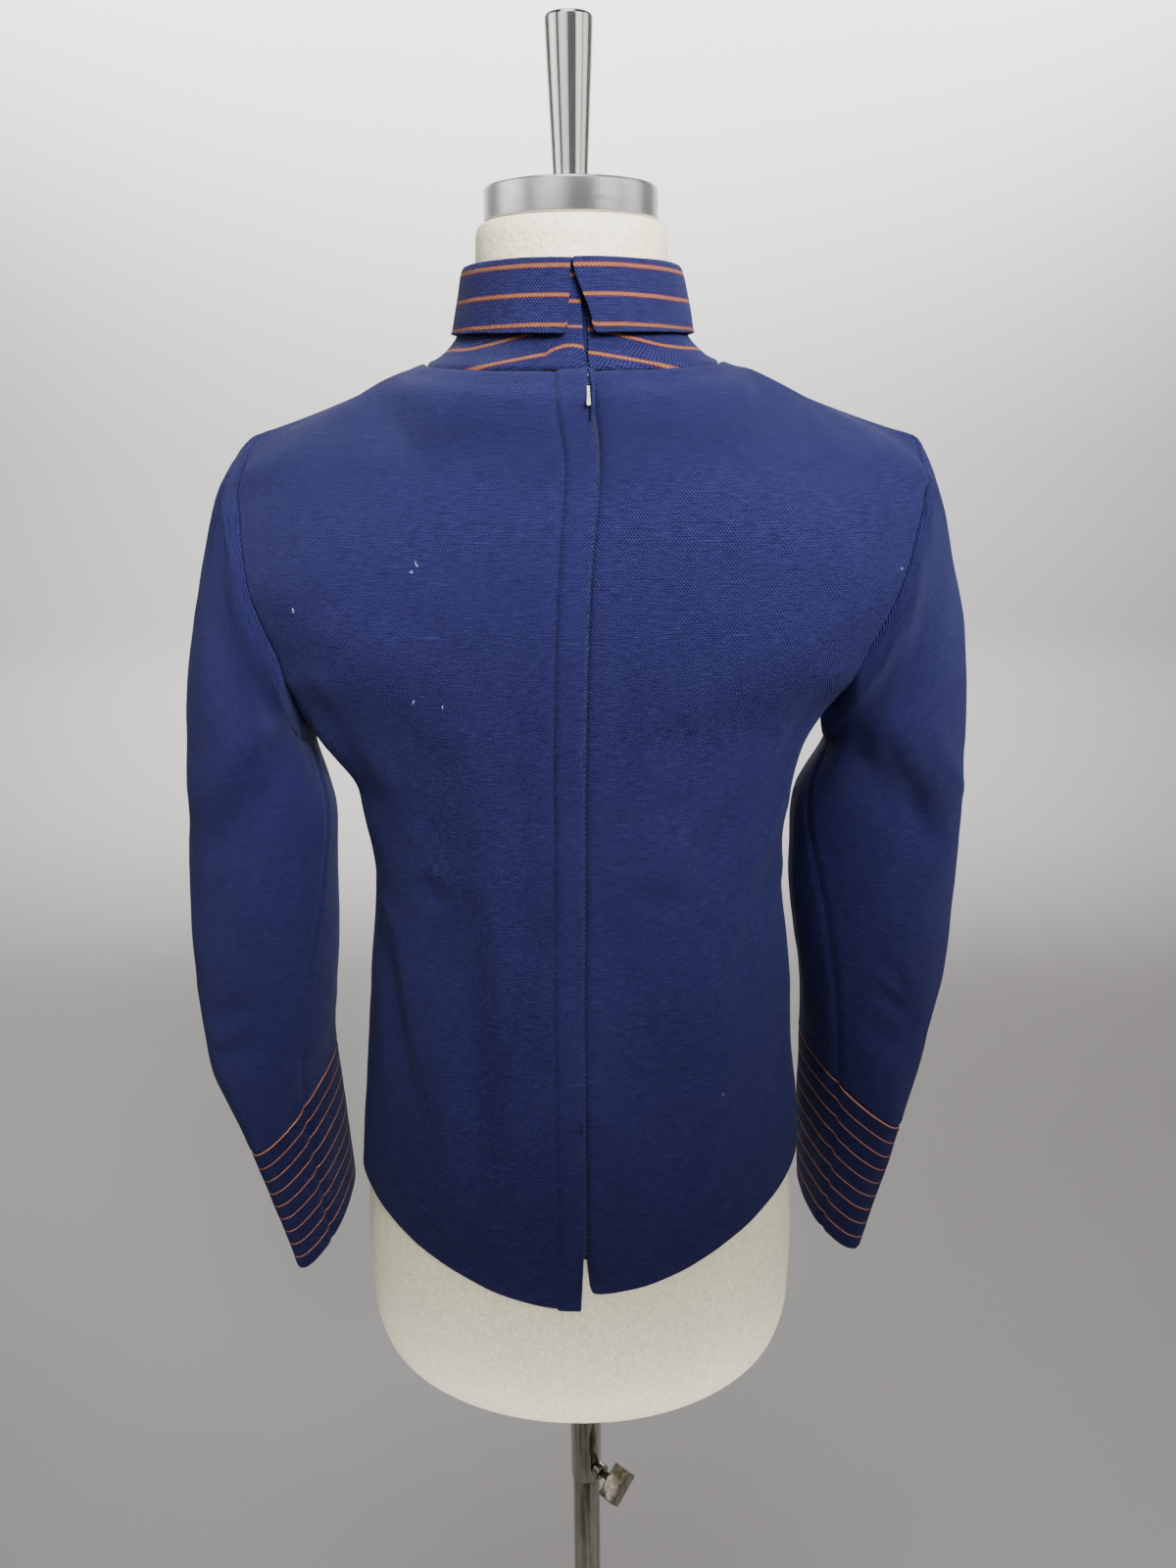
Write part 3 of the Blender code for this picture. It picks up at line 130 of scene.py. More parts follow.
# Neckline and shoulder seams
NECK_HALF, NECK_SIDE_Z = 0.0880, 1.4155
NECK_BACK_Y, NECK_BACK_Z = 0.0720, 1.4105
NECK_FRONT_Y, NECK_FRONT_Z = -0.0780, 1.3880
SHOULDER_SAG = 0.0022
TIP = {1: (0.1900, 1.3775), -1: (0.2065, 1.3730)}
YOKE_EDGE = {1: (0.1965, 1.3600), -1: (0.2095, 1.3520)}
YOKE_EDGE_Y = 0.0190
YOKE_REACH, YOKE_REACH_SHOULDER = 0.0125, 0.0280
YOKE_DROP, YOKE_DROP_SHOULDER = 0.0175, 0.0060
YOKE_SWEEP = math.radians(36)
FORM_SHOULDER, FORM_LOWER, FORM_INSET = 0.84, 0.0021, 0.0036

# Height of the opening and how far it strays from the middle
OPENING = [(0.81, -0.0020), (0.93, -0.0019), (1.00, -0.0016), (1.10, -0.0028), (1.18, -0.0036),
           (1.29, -0.0065), (1.31, -0.0089), (1.34, -0.0113), (1.357, -0.0125), (1.375, -0.0116),
           (1.39, -0.0101), (1.41, -0.0080)]

Ring = namedtuple("Ring", "name x y z long short turn rise_out rise_back")

# Rings of each sleeve below its head, by side
SLEEVE = {1: [
    Ring("biceps",   0.2075,  0.003, 1.217, 0.0540, 0.0345, 90,  1.08,  0.00),
    Ring("upper",    0.2096,  0.001, 1.150, 0.0500, 0.0462, 90,  0.34,  0.00),
    Ring("mid",      0.2140, -0.001, 1.090, 0.0485, 0.0470,  0,  0.08, -0.02),
    Ring("elbow",    0.2182, -0.005, 1.030, 0.0505, 0.0400, 40, -0.08, -0.06),
    Ring("forearm",  0.2223, -0.012, 0.965, 0.0505, 0.0340, 51, -0.27, -0.15),
    Ring("cuff_top", 0.2152, -0.019, 0.903, 0.0490, 0.0205, 66, -0.49, -0.28),
    Ring("cuff_mid", 0.2075, -0.019, 0.848, 0.0470, 0.0185, 72, -0.38, -0.26),
    Ring("cuff_end", 0.1996, -0.019, 0.793, 0.0450, 0.0165, 77, -0.29, -0.24),
], -1: [
    Ring("biceps",   0.2040,  0.003, 1.217, 0.0535, 0.0405, 90,  0.95,  0.00),
    Ring("upper",    0.1975,  0.001, 1.150, 0.0570, 0.0380, 35,  0.30,  0.00),
    Ring("mid",      0.1991, -0.002, 1.090, 0.0570, 0.0345, 30,  0.06, -0.02),
    Ring("elbow",    0.2019, -0.006, 1.032, 0.0535, 0.0325, 28, -0.10, -0.04),
    Ring("forearm",  0.2035, -0.013, 0.972, 0.0475, 0.0285, 32, -0.34, -0.08),
    Ring("cuff_top", 0.1985, -0.019, 0.915, 0.0476, 0.0222, 53, -0.56, -0.13),
    Ring("cuff_mid", 0.1945, -0.020, 0.856, 0.0455, 0.0205, 64, -0.43, -0.12),
    Ring("cuff_end", 0.1898, -0.020, 0.798, 0.0432, 0.0187, 75, -0.29, -0.12),
]}
CUFF_RING = 5
HEAD_OUT = {1: 0.0130, -1: 0.0075}
HEAD_DROP, CAP_BULGE = 0.0088, 0.0012
SEAM_TURN = {1: 139.0, -1: 133.0}       # where the sleeve's own seam meets the cuff

Fold = namedtuple("Fold", "name x0 z0 x1 z1 width depth")

# Creases of the back that the solids have too, ridges (+) and troughs (-)
BACK_FOLDS = [
    Fold("left_blade_hollow",   0.085, 1.200,  0.100, 1.120, 0.024, -0.0035),
    Fold("left_dimple",         0.092, 1.105,  0.086, 1.040, 0.016, -0.0025),
    Fold("left_inner_ridge",    0.052, 1.160,  0.046, 0.900, 0.013,  0.0030),
    Fold("left_groove",         0.068, 1.100,  0.064, 0.920, 0.011, -0.0028),
    Fold("left_outer_ridge",    0.090, 1.010,  0.084, 0.870, 0.014,  0.0026),
    Fold("right_blade_hollow", -0.052, 1.210, -0.062, 1.130, 0.024, -0.0035),
    Fold("right_band",         -0.055, 1.150, -0.080, 1.080, 0.014,  0.0026),
    Fold("right_groove",       -0.036, 1.090, -0.040, 0.950, 0.012, -0.0026),
    Fold("right_outer_ridge",  -0.088, 1.060, -0.090, 0.900, 0.015,  0.0030),
    Fold("left_drag",           0.165, 1.215,  0.125, 1.100, 0.012,  0.0022),
    Fold("right_drag",         -0.150, 1.200, -0.118, 1.110, 0.012,  0.0020),
]
# Finer creases that only the cloth has
BACK_CREASES = [
    Fold("left_side_edge",      0.134, 1.090,  0.120, 1.071, 0.0045, 0.0012),
    Fold("left_side_line",      0.120, 1.071,  0.102, 0.962, 0.0065, 0.0010),
    Fold("left_side_shade",     0.131, 1.060,  0.113, 0.965, 0.0090, -0.0022),
    Fold("left_pinch",          0.0945, 1.112, 0.092, 1.094, 0.0110, -0.0026),
    Fold("left_pinch_rim",      0.106, 1.132,  0.097, 1.146, 0.0090, 0.0013),
    Fold("left_sway",           0.032, 1.034,  0.082, 0.924, 0.0150, -0.0012),
    Fold("left_belly",          0.089, 0.996,  0.090, 0.940, 0.0100, 0.0012),
    Fold("right_band_crest",   -0.043, 1.119, -0.085, 1.162, 0.0085, 0.0016),
    Fold("right_band_shade",   -0.076, 1.112, -0.099, 1.168, 0.0090, -0.0022),
    Fold("right_band_foot",    -0.034, 1.106, -0.074, 1.100, 0.0070, -0.0013),
    Fold("right_spine",        -0.037, 1.100, -0.037, 0.972, 0.0080, 0.0010),
    Fold("right_side_line",    -0.132, 1.166, -0.084, 1.040, 0.0045, 0.0011),
    Fold("right_side_shade",   -0.134, 1.135, -0.096, 1.030, 0.0080, -0.0016),
    Fold("right_low_line",     -0.142, 1.110, -0.114, 1.057, 0.0045, 0.0010),
    Fold("right_low_shade",    -0.058, 1.016, -0.068, 0.902, 0.0140, -0.0014),
    Fold("left_arm_pleat",      0.170, 1.232,  0.133, 1.129, 0.0060, 0.0012),
    Fold("left_arm_shade",      0.158, 1.228,  0.124, 1.150, 0.0110, -0.0016),
    Fold("right_arm_shade",    -0.150, 1.236, -0.128, 1.170, 0.0110, -0.0018),
    Fold("right_patch",        -0.047, 1.212, -0.064, 1.196, 0.0120, -0.0012),
]
FRONT_FOLDS = [
    Fold("left_drape",    0.070, 1.120,  0.066, 0.890, 0.016,  0.0030),
    Fold("left_trough",   0.094, 1.080,  0.088, 0.900, 0.013, -0.0026),
    Fold("middle_ridge", -0.010, 1.060, -0.004, 0.880, 0.016,  0.0022),
    Fold("right_drape",  -0.074, 1.110, -0.082, 0.880, 0.015,  0.0030),
    Fold("right_trough", -0.048, 1.070, -0.050, 0.920, 0.013, -0.0024),
    Fold("left_pull",     0.150, 1.210,  0.110, 1.150, 0.012,  0.0020),
    Fold("right_pull",   -0.140, 1.215, -0.104, 1.145, 0.013,  0.0020),
]
FRONT_CREASES = [
    Fold("left_bust_drag",   0.142, 1.205,  0.088, 1.168, 0.0080, -0.0016),
    Fold("left_under_bust",  0.060, 1.118,  0.102, 1.096, 0.0100, -0.0014),
    Fold("right_bust_drag", -0.136, 1.208, -0.082, 1.160, 0.0085, -0.0018),
    Fold("right_side_pull", -0.126, 1.080, -0.092, 1.030, 0.0080, 0.0014),
    Fold("left_side_pull",   0.124, 1.070,  0.098, 1.010, 0.0070, 0.0013),
    Fold("middle_sway",      0.022, 1.010, -0.030, 0.930, 0.0130, -0.0012),
    Fold("left_hip",         0.108, 0.960,  0.104, 0.890, 0.0090, 0.0012),
]

SleeveFold = namedtuple("SleeveFold", "name round0 z0 round1 z1 width depth")

# Creases of a sleeve: degrees from outwards to backwards, and height
SLEEVE_FOLDS = [
    SleeveFold("underarm_drag", 140, 1.190,  60, 1.120, 0.013, -0.0045),
    SleeveFold("drag_ridge",    120, 1.215,  40, 1.150, 0.015,  0.0040),
    SleeveFold("elbow_upper",   100, 1.010,  60, 0.985, 0.009, -0.0030),
    SleeveFold("elbow_lower",   105, 0.975,  55, 0.955, 0.009, -0.0026),
    SleeveFold("front_drag",   -130, 1.195, -60, 1.130, 0.014, -0.0035),
    SleeveFold("front_elbow",   -95, 1.000, -50, 1.015, 0.011, -0.0024),
]
SLEEVE_CREASES = {1: [
    SleeveFold("head_tuck",      62, 1.334,  34, 1.314, 0.0050, -0.0009),
    SleeveFold("under_curve",   128, 1.196,  92, 1.176, 0.0060, -0.0014),
    SleeveFold("under_crest",    88, 1.186,  58, 1.134, 0.0070,  0.0013),
    SleeveFold("elbow_a",        92, 1.008,  52, 0.996, 0.0042, -0.0022),
    SleeveFold("elbow_b",        96, 0.978,  48, 0.962, 0.0038, -0.0021),
    SleeveFold("elbow_rim",      90, 0.992,  50, 0.981, 0.0050,  0.0018),
    SleeveFold("front_a",       -86, 1.018, -38, 0.998, 0.0055, -0.0012),
    SleeveFold("front_b",      -110, 0.986, -64, 0.972, 0.0050, -0.0012),
    SleeveFold("outer_sway",      8, 1.120,  22, 0.990, 0.0120,  0.0011),
], -1: [
    SleeveFold("head_tuck",      58, 1.338,  30, 1.320, 0.0050, -0.0008),
    SleeveFold("arc_ridge",      84, 1.214,  38, 1.154, 0.0075,  0.0016),
    SleeveFold("arc_shade",     112, 1.200,  70, 1.132, 0.0090, -0.0018),
    SleeveFold("elbow_a",       104, 1.036,  66, 1.002, 0.0045, -0.0014),
    SleeveFold("elbow_b",        98, 1.004,  58, 0.978, 0.0042, -0.0013),
    SleeveFold("elbow_rim",     100, 1.020,  62, 0.990, 0.0055,  0.0010),
    SleeveFold("front_a",       -92, 1.026, -44, 1.004, 0.0055, -0.0013),
    SleeveFold("front_b",      -104, 0.990, -60, 0.974, 0.0050, -0.0011),
    SleeveFold("outer_sway",     -6, 1.130,  14, 1.010, 0.0130,  0.0010),
]}

Neck = namedtuple("Neck", "name x y_back y_front z_back z_side z_front end_left end_right")

# Path of the collar from the neckline seam over the fold and down the turned part
COLLAR = [
    Neck("flare",     0.0785, 0.0695, -0.0745, 1.4160, 1.4195, 1.3970, -0.0070, -0.0092),
    Neck("rise",      0.0700, 0.0655, -0.0705, 1.4250, 1.4275, 1.4100, -0.0062, -0.0090),
    Neck("stand",     0.0640, 0.0620, -0.0665, 1.4390, 1.4400, 1.4300, -0.0056, -0.0088),
    Neck("under",     0.0600, 0.0600, -0.0636, 1.4560, 1.4570, 1.4500, -0.0052, -0.0080),
    Neck("fold_in",   0.0597, 0.0598, -0.0632, 1.4630, 1.4640, 1.4590, -0.0026, -0.0034),
    Neck("fold_top",  0.0612, 0.0612, -0.0646, 1.4652, 1.4662, 1.4614, -0.0004, -0.0016),
    Neck("fold_out",  0.0628, 0.0626, -0.0662, 1.4630, 1.4640, 1.4590,  0.0000, -0.0014),
    Neck("band",      0.0652, 0.0646, -0.0688, 1.4500, 1.4510, 1.4450,  0.0006, -0.0054),
    Neck("band_low",  0.0672, 0.0668, -0.0712, 1.4380, 1.4400, 1.4320,  0.0014, -0.0100),
    Neck("band_edge", 0.0690, 0.0690, -0.0732, 1.4275, 1.4305, 1.4200,  0.0024, -0.0116),
]
FOLD_ROW = 6                # row of the collar's grid that lies on its fold
FOLD_Z = 1.4652
STAND_STRIPES = (0.0595, 0.0455, 0.0338, 0.0206, 0.0072)    # below the fold, on the stand
BAND_STRIPES = (0.0030, 0.0176, 0.0326)                     # below the fold, on the band
STRIPE_SAG, STRIPE_SAG_TURN = 0.0095, math.radians(60)

FORM_NECK = [
    (0.0660, 0.0585, -0.0625, 1.4215),
    (0.0600, 0.0560, -0.0580, 1.4400),
    (0.0560, 0.0550, -0.0555, 1.4600),
    (0.0555, 0.0550, -0.0550, 1.4800),
    (0.0535, 0.0530, -0.0530, 1.4885),
    (0.0490, 0.0485, -0.0485, 1.4910),
]

# Stand
CAP_RADIUS, CAP_BOTTOM, CAP_TOP, FINIAL_HEIGHT = 0.0500, 1.4913, 1.5095, 0.0850
FORM_SOLE, FIT_GAP = 0.7003, 0.0003
TUBE_RADIUS, TUBE_BORE, TUBE_END = 0.0123, 0.0113, 0.5510
FLANGE_RADIUS, FLANGE_THICK = 0.0400, 0.0045
POLE_RADIUS, POLE_TOP = 0.0110, 0.6850
BASE_RADIUS, BASE_THICK = 0.1800, 0.0120
HUB_RADIUS, HUB_HEIGHT, HUB_BORE = 0.0260, 0.0420, 0.0113
SCREW_HEIGHT, SCREW_TURN = 0.5640, math.radians(135)
SCREW_RADIUS, SCREW_ROOT, THREAD_START, THREAD_PITCH, THREADS = 0.0030, 0.0026, 0.0088, 0.0006, 9
BLOCK_SIZE, BLOCK_OUT, BLOCK_TURN = (0.0265, 0.0120, 0.0150), 0.0238, math.radians(38)
BOSS = [(0.0034, 0.0014), (0.0062, 0.0014), (0.0062, 0.0078), (0.0054, 0.0085), (0.0034, 0.0085),
        (0.0034, 0.0020)]           # radius, distance out from the pole

# Zip
SLIDER_DOWN = 0.0045
TAPE_DEPTH, TAPE_THICK, TAPE_HALF = 0.0008, 0.0008, 0.0120
# Path of the tape's ends inside the collar
TAPE_RISE = [(-0.0080, 0.0670, 1.4150), (-0.0077, 0.0631, 1.4245), (-0.0073, 0.0595, 1.4390),
             (-0.0058, 0.0576, 1.4555), (-0.0030, 0.0574, 1.4675)]
TOOTH_PITCH, TOOTH_SIZE, TOOTH_SINK, TOOTH_LEAN = 0.0018, (0.0021, 0.0010, 0.0007), 0.00035, 0.00055
BEAD_RADIUS, BEAD_SHAPE = 0.00075, (1.5, 0.9, 0.8, 1.0)
SLIDER_SIZE, SLIDER_DEPTH = (0.0048, 0.0078, 0.0009), 0.0034
ARCH_WIRE, ARCH_FOOT = 0.00055, 0.0006
ARCH = [(0.0006, 0.0020, 0), (0.0010, 0.0036, 40), (0.0025, 0.0043, 90), (0.0040, 0.0036, 140),
        (0.0044, 0.0020, 180)]      # along the slider, out of it, and the turn of the wire in degrees
TAB_LENGTH, TAB_HALF, TAB_THICK, TAB_HINGE, TAB_SWAY = 0.0205, 0.0017, 0.0008, (0, 0.0025, 0.0027), -5.5
SLOT_HALF, SLOT_START, SLOT_END = 0.0009, 0.0005, 0.0042


def colour_setting(name, description, default):
    return FloatVectorProperty(name=name, description=description, default=default, subtype="COLOR",
                               min=0.0, max=1.0)


def length_setting(name, description, default, low, high):
    return FloatProperty(name=name, description=description, default=default, unit="LENGTH",
                         min=low, max=high, precision=5)


class BlouseSettings(bpy.types.PropertyGroup):
    """Cloth of the blouse"""
    navy: colour_setting("Navy", "Colour of the double knit", (0.0108, 0.0114, 0.0575))
    stripe: colour_setting("Stripe", "Colour of the collar's and the cuffs' stripes", (0.200, 0.080, 0.041))
    edge: colour_setting("Stripe edge", "Colour of the yarn at a stripe's edges", (0.075, 0.012, 0.014))
    twill: length_setting("Twill", "Distance between the diagonal lines of the knit", 0.0018, 0.0004, 0.01)
    collar_stripe: length_setting("Collar stripe", "Width of a stripe on the collar", 0.0019, 0.0002, 0.02)
    cuff_stripe: length_setting("Cuff stripe", "Width of a stripe on the cuffs", 0.0010, 0.0002, 0.02)
    cuff_stripes: IntProperty(name="Cuff stripes", description="Stripes on each cuff, the last on its edge",
                              default=10, min=2, max=40)
    seam_depth: length_setting("Seam depth", "How far a seam sinks into the cloth", 0.0011, 0.0, 0.005)
    creases: FloatProperty(name="Creases", description="Strength of the fine creases",
                           default=1.4, subtype="FACTOR", min=0.0, max=2.0)


class StandSettings(bpy.types.PropertyGroup):
    """Form and stand"""
    jersey: colour_setting("Jersey", "Colour of the form's cover", (0.82, 0.775, 0.560))
    chrome: colour_setting("Chrome", "Colour of the polished metal", (0.76, 0.75, 0.73))
    steel: colour_setting("Steel", "Colour of the brushed neck cap", (0.88, 0.88, 0.90))
    paint: colour_setting("Paint", "Colour of the base plate", (0.23, 0.23, 0.24))


class StageSettings(bpy.types.PropertyGroup):
    """Floor, light and camera"""
    floor: colour_setting("Floor", "Colour of the floor and the cove", (0.55, 0.537, 0.528))
    key: FloatProperty(name="Key light", description="Power that the lights are shares of, in watts",
                       default=12.0, min=0.0, max=1000.0)
    lens: FloatProperty(name="Lens", description="Focal length in millimetres on a 36 mm sensor",
                        default=36 * 1202 / 1600, min=5.0, max=200.0)


class Reading:
    """A number on a surface, so that shader maths reads as plain Python."""

    def __init__(self, surface, socket):
        self.surface, self.socket = surface, socket

    def maths(self, operation, *values):
        return self.surface.node("ShaderNodeMath", {"operation": operation}, dict(enumerate(values)))

    def __add__(self, other):
        return self.maths("ADD", self, other)

    __radd__ = __add__

    def __mul__(self, other):
        return self.maths("MULTIPLY", self, other)

    __rmul__ = __mul__

    def __sub__(self, other):
        return self.maths("SUBTRACT", self, other)

    def __rsub__(self, other):
        return self.maths("SUBTRACT", other, self)

    def __truediv__(self, other):
        return self.maths("DIVIDE", self, other)

    def __abs__(self):
        return self.maths("ABSOLUTE", self)

    def sine(self):
        return self.maths("SINE", self)

    def fraction(self):
        return self.maths("FRACT", self)

    def most(self, other):
        return self.maths("MAXIMUM", self, other)

    def between(self, low, high):
        """0 below `low`, 1 above `high` and smooth between them."""
        return self.surface.node("ShaderNodeMapRange", {"interpolation_type": "SMOOTHSTEP"},
                                 {"Value": self, "From Min": low, "From Max": high})


class Surface:
    """A procedural material under construction."""

    def __init__(self, name, **constants):
        self.material = bpy.data.materials.new(name)
        self.material.use_nodes = True
        self.tree = self.material.node_tree
        self.shader = self.tree.nodes["Principled BSDF"]
        for socket, value in constants.items():
            self.shader.inputs[socket.replace("_", " ")].default_value = value

    def node(self, kind, settings=None, inputs=None, output=0):
        made = self.tree.nodes.new(kind)
        for key, value in (settings or {}).items():
            setattr(made, key, value)
        for key, value in (inputs or {}).items():
            self.join(value, made.inputs[key])
        return Reading(self, made.outputs[output])

    def join(self, value, socket):
        if isinstance(value, Reading):
            self.tree.links.new(value.socket, socket)
        elif hasattr(value, "__len__") and len(value) == 3 and socket.type == "RGBA":
            socket.default_value = (*value, 1.0)
        else:
            socket.default_value = value

    def cut(self):
        """Distance across and along the cloth as it was cut, in metres."""
        return self.parts(self.node("ShaderNodeUVMap", {"uv_map": "cut"}))[:2]

    def place(self):
        """Place on the object, in metres."""
        return self.node("ShaderNodeTexCoord", output=3)

    def parts(self, vector):
        made = self.tree.nodes.new("ShaderNodeSeparateXYZ")
        self.tree.links.new(vector.socket, made.inputs[0])
        return [Reading(self, made.outputs[k]) for k in range(3)]

    def vector(self, x, y, z=0.0):
        return self.node("ShaderNodeCombineXYZ", None, {0: x, 1: y, 2: z})

    def grain(self, vector, scale, detail=2.0, roughness=0.5):
        """Noise between 0 and 1."""
        return self.node("ShaderNodeTexNoise", None,
                         {"Vector": vector, "Scale": scale, "Detail": detail, "Roughness": roughness})

    def mix(self, share, first, second):
        """Colour between two colours."""
        made = self.tree.nodes.new("ShaderNodeMix")
        made.data_type, made.clamp_factor = "RGBA", True
        for value, key in ((share, 0), (first, 6), (second, 7)):
            self.join(value, made.inputs[key])
        return Reading(self, made.outputs[2])

    def finish(self, colour=None, roughness=None, height=None, depth=0.0005, strength=1.0):
        for value, key in ((colour, "Base Color"), (roughness, "Roughness")):
            if value is not None:
                self.join(value, self.shader.inputs[key])
        if height is not None:
            bump = self.node("ShaderNodeBump", None,
                             {"Strength": strength, "Distance": depth, "Height": height})
            self.tree.links.new(bump.socket, self.shader.inputs["Normal"])
        return self.material


def shade(colour, amount):
    return tuple(min(1.0, part * amount) for part in colour)


# Pale specks of lint on the back, where their height and side are
SPECKS = [(-0.1149, 0.0775, 1.3435), (-0.1909, 0.0537, 1.2995), (-0.0921, 0.0876, 0.9676),
          (0.0942, 0.0849, 1.2291), (0.0310, 0.0990, 1.1500), (0.1210, 0.0550, 1.1630)]


def knit(name, settings, spacing=0.0, width=0.0, specks=False):
    """Double knit with a fine diagonal, slubs across it and, at a spacing, stripes."""
    surface = Surface(name, Sheen_Weight=0.055, Sheen_Roughness=0.40, Specular_IOR_Level=0.15,
                      Sheen_Tint=(0.45, 0.52, 1.0, 1.0))
    across, along = surface.cut()
    flat = surface.vector(across, along)
    sway = surface.grain(flat, 60.0, 1.0)
    twill = ((across + along * 0.9 + sway * 0.0012) * (2 * math.pi / settings.twill)).sine()
    courses = ((along + sway * 0.0006) * (2 * math.pi / (settings.twill * 0.78))).sine()
    slub = surface.grain(surface.vector(across * 34.0, along * 560.0), 1.0, 3.0, 0.62)
    thread = surface.grain(surface.vector(across * 130.0, along * 1050.0), 1.0, 1.0)
    fuzz = surface.grain(flat, 1100.0, 2.0, 0.7)
    worn = surface.grain(flat, 9.0, 3.0, 0.55)
    strong = slub.between(0.60, 0.76)
    weak = 1 - slub.between(0.24, 0.42)
    lightness = 0.42 + twill * 0.42 + courses * 0.14 + (fuzz - 0.5) * 1.9 + strong * 0.70 - weak * 0.60
    lightness = lightness + (worn - 0.5) * 0.55 + (thread - 0.5) * 1.3
    # Painted shade: the cuffs, whose stripes are narrower than the collar's, get a darker navy than the rest
    # of the knit.
    navy = shade(settings.navy, 0.72) if 0 < width < settings.collar_stripe else settings.navy
    colour = surface.mix(lightness, shade(navy, 0.55), (navy[0] * 1.95, navy[1] * 1.80, navy[2] * 1.50))
    height = twill * 0.32 + courses * 0.12 + fuzz * 0.75 + strong * 0.55 + thread * 0.30
    rough = 0.78 + (fuzz - 0.5) * 0.25 - strong * 0.08
    if spacing:
        wobble = (surface.grain(surface.vector(across * 40.0, along * 6.0), 1.0, 2.0) - 0.5) * 0.0007
        away = abs(((along + wobble) / spacing + 0.5).fraction() - 0.5) * spacing
        edge = 1 - away.between(width / 2 + 0.00006, width / 2 + width * 0.28)
        line = 1 - away.between(width / 2 - width * 0.12, width / 2 + 0.00006)
        yarn = (twill * 0.5 + 0.5).between(0.1, 0.9)
        bright = min(2.0, settings.collar_stripe / width)
        stripe = surface.mix(yarn * 0.55 + (fuzz - 0.4) * 0.9, shade(settings.stripe, 1.15 * bright),
                             shade(settings.stripe, 0.45 * bright))
        colour = surface.mix(edge * (0.8 / bright), colour, settings.edge)
        colour = surface.mix(line, colour, stripe)
        height = height + line * 0.6
    if specks:
        place = surface.place()
        found = None
        for speck in SPECKS:
            away = surface.node("ShaderNodeVectorMath", {"operation": "DISTANCE"}, {0: place, 1: speck}, 1)
            spot = 1 - away.between(0.0004, 0.0011)
            found = spot if found is None else found.most(spot)
        colour = surface.mix(found * 0.6, colour, (0.24, 0.26, 0.46))
    return surface.finish(colour, rough, height, 0.00062, 0.95)


def smooth_step(value):
    value = np.clip(value, 0.0, 1.0)
    return value * value * (3.0 - 2.0 * value)


def bell(away, width):
    """1 at 0, and next to nothing at twice the width."""
    return np.exp(-(away / width) ** 2)


def soft_line(away, depth, place, reach):
    """A soft line in the cloth, by the distance from the edge."""
    return depth * bell(away - place, reach)


def crossed(across, along):
    """Two readings of a grid side by side, spread over its rows and columns."""
    return np.stack(np.broadcast_arrays(across, along), axis=-1)


def read_at(at, knots, values):
    """Rows of points read on the straight lines between them."""
    return np.stack([np.interp(at, knots, values[:, k]) for k in range(3)], axis=-1)


def through(knots, points, at, level=False):
    """Smooth curve through rows of points, read at the values in `at`."""
    knots = np.asarray(knots, float)
    points = np.asarray(points, float)
    slopes = np.gradient(points, knots, axis=0)
    secants = np.diff(points, axis=0) / np.diff(knots).reshape(-1, *[1] * (points.ndim - 1))
    least = np.minimum(np.abs(secants[1:]), np.abs(secants[:-1])) * 1.6
    same = secants[1:] * secants[:-1] > 0
    other = 0.0 if level else slopes[1:-1]
    slopes[1:-1] = np.where(same, np.clip(slopes[1:-1], -least, least), other)
    at = np.asarray(at, float)
    k = np.clip(np.searchsorted(knots, at, side="right") - 1, 0, len(knots) - 2)
    shape = (-1, *[1] * (points.ndim - 1))
    span = (knots[k + 1] - knots[k]).reshape(shape)
    t = ((at - knots[k]) / (knots[k + 1] - knots[k])).reshape(shape)
    return ((2 * t**3 - 3 * t**2 + 1) * points[k] + (t**3 - 2 * t**2 + t) * span * slopes[k]
            + (3 * t**2 - 2 * t**3) * points[k + 1] + (t**3 - t**2) * span * slopes[k + 1])


def split(values, parts):
    """The same values with each step between them cut into parts."""
    values = np.asarray(values, float)
    counts = parts if hasattr(parts, "__len__") else [parts] * (len(values) - 1)
    pieces = [np.linspace(a, b, count, endpoint=False) for a, b, count in zip(values, values[1:], counts)]
    return np.concatenate([*pieces, values[-1:]])


def with_edges(values, start=True, end=True, steps=SEAM_STEPS):
    """Add values close to the first and the last one, for the turn of a seam."""
    extra = [values[0] + step for step in steps] if start else []
    extra += [values[-1] - step for step in steps] if end else []
    return np.unique(np.round(np.concatenate((values, extra)), 7))


def opening_x(z):
    heights, strays = zip(*OPENING)
    return float(np.interp(z, heights, strays))


def opening_half_gap(z):
    slider = smooth_step((z - 1.365) / 0.02)
    vent = smooth_step((0.818 + VENT_HEIGHT - z) / VENT_HEIGHT)
    return (OPENING_GAP + (SLIDER_GAP - OPENING_GAP) * slider + (VENT_GAP - OPENING_GAP) * vent) / 2


def column_shares(lap_columns):
    """Columns from the centre line (0) to the side (1); lap columns come as distances."""
    total = NECK_COLUMNS + SHOULDER_COLUMNS
    shares = [("share", k / total) for k in range(total + 1)]
    if not lap_columns:
        return shares
    return [("away", 0.0), ("away", LAP_WIDTH), ("away", LAP_WIDTH + LAP_STEP)] + shares[2:]


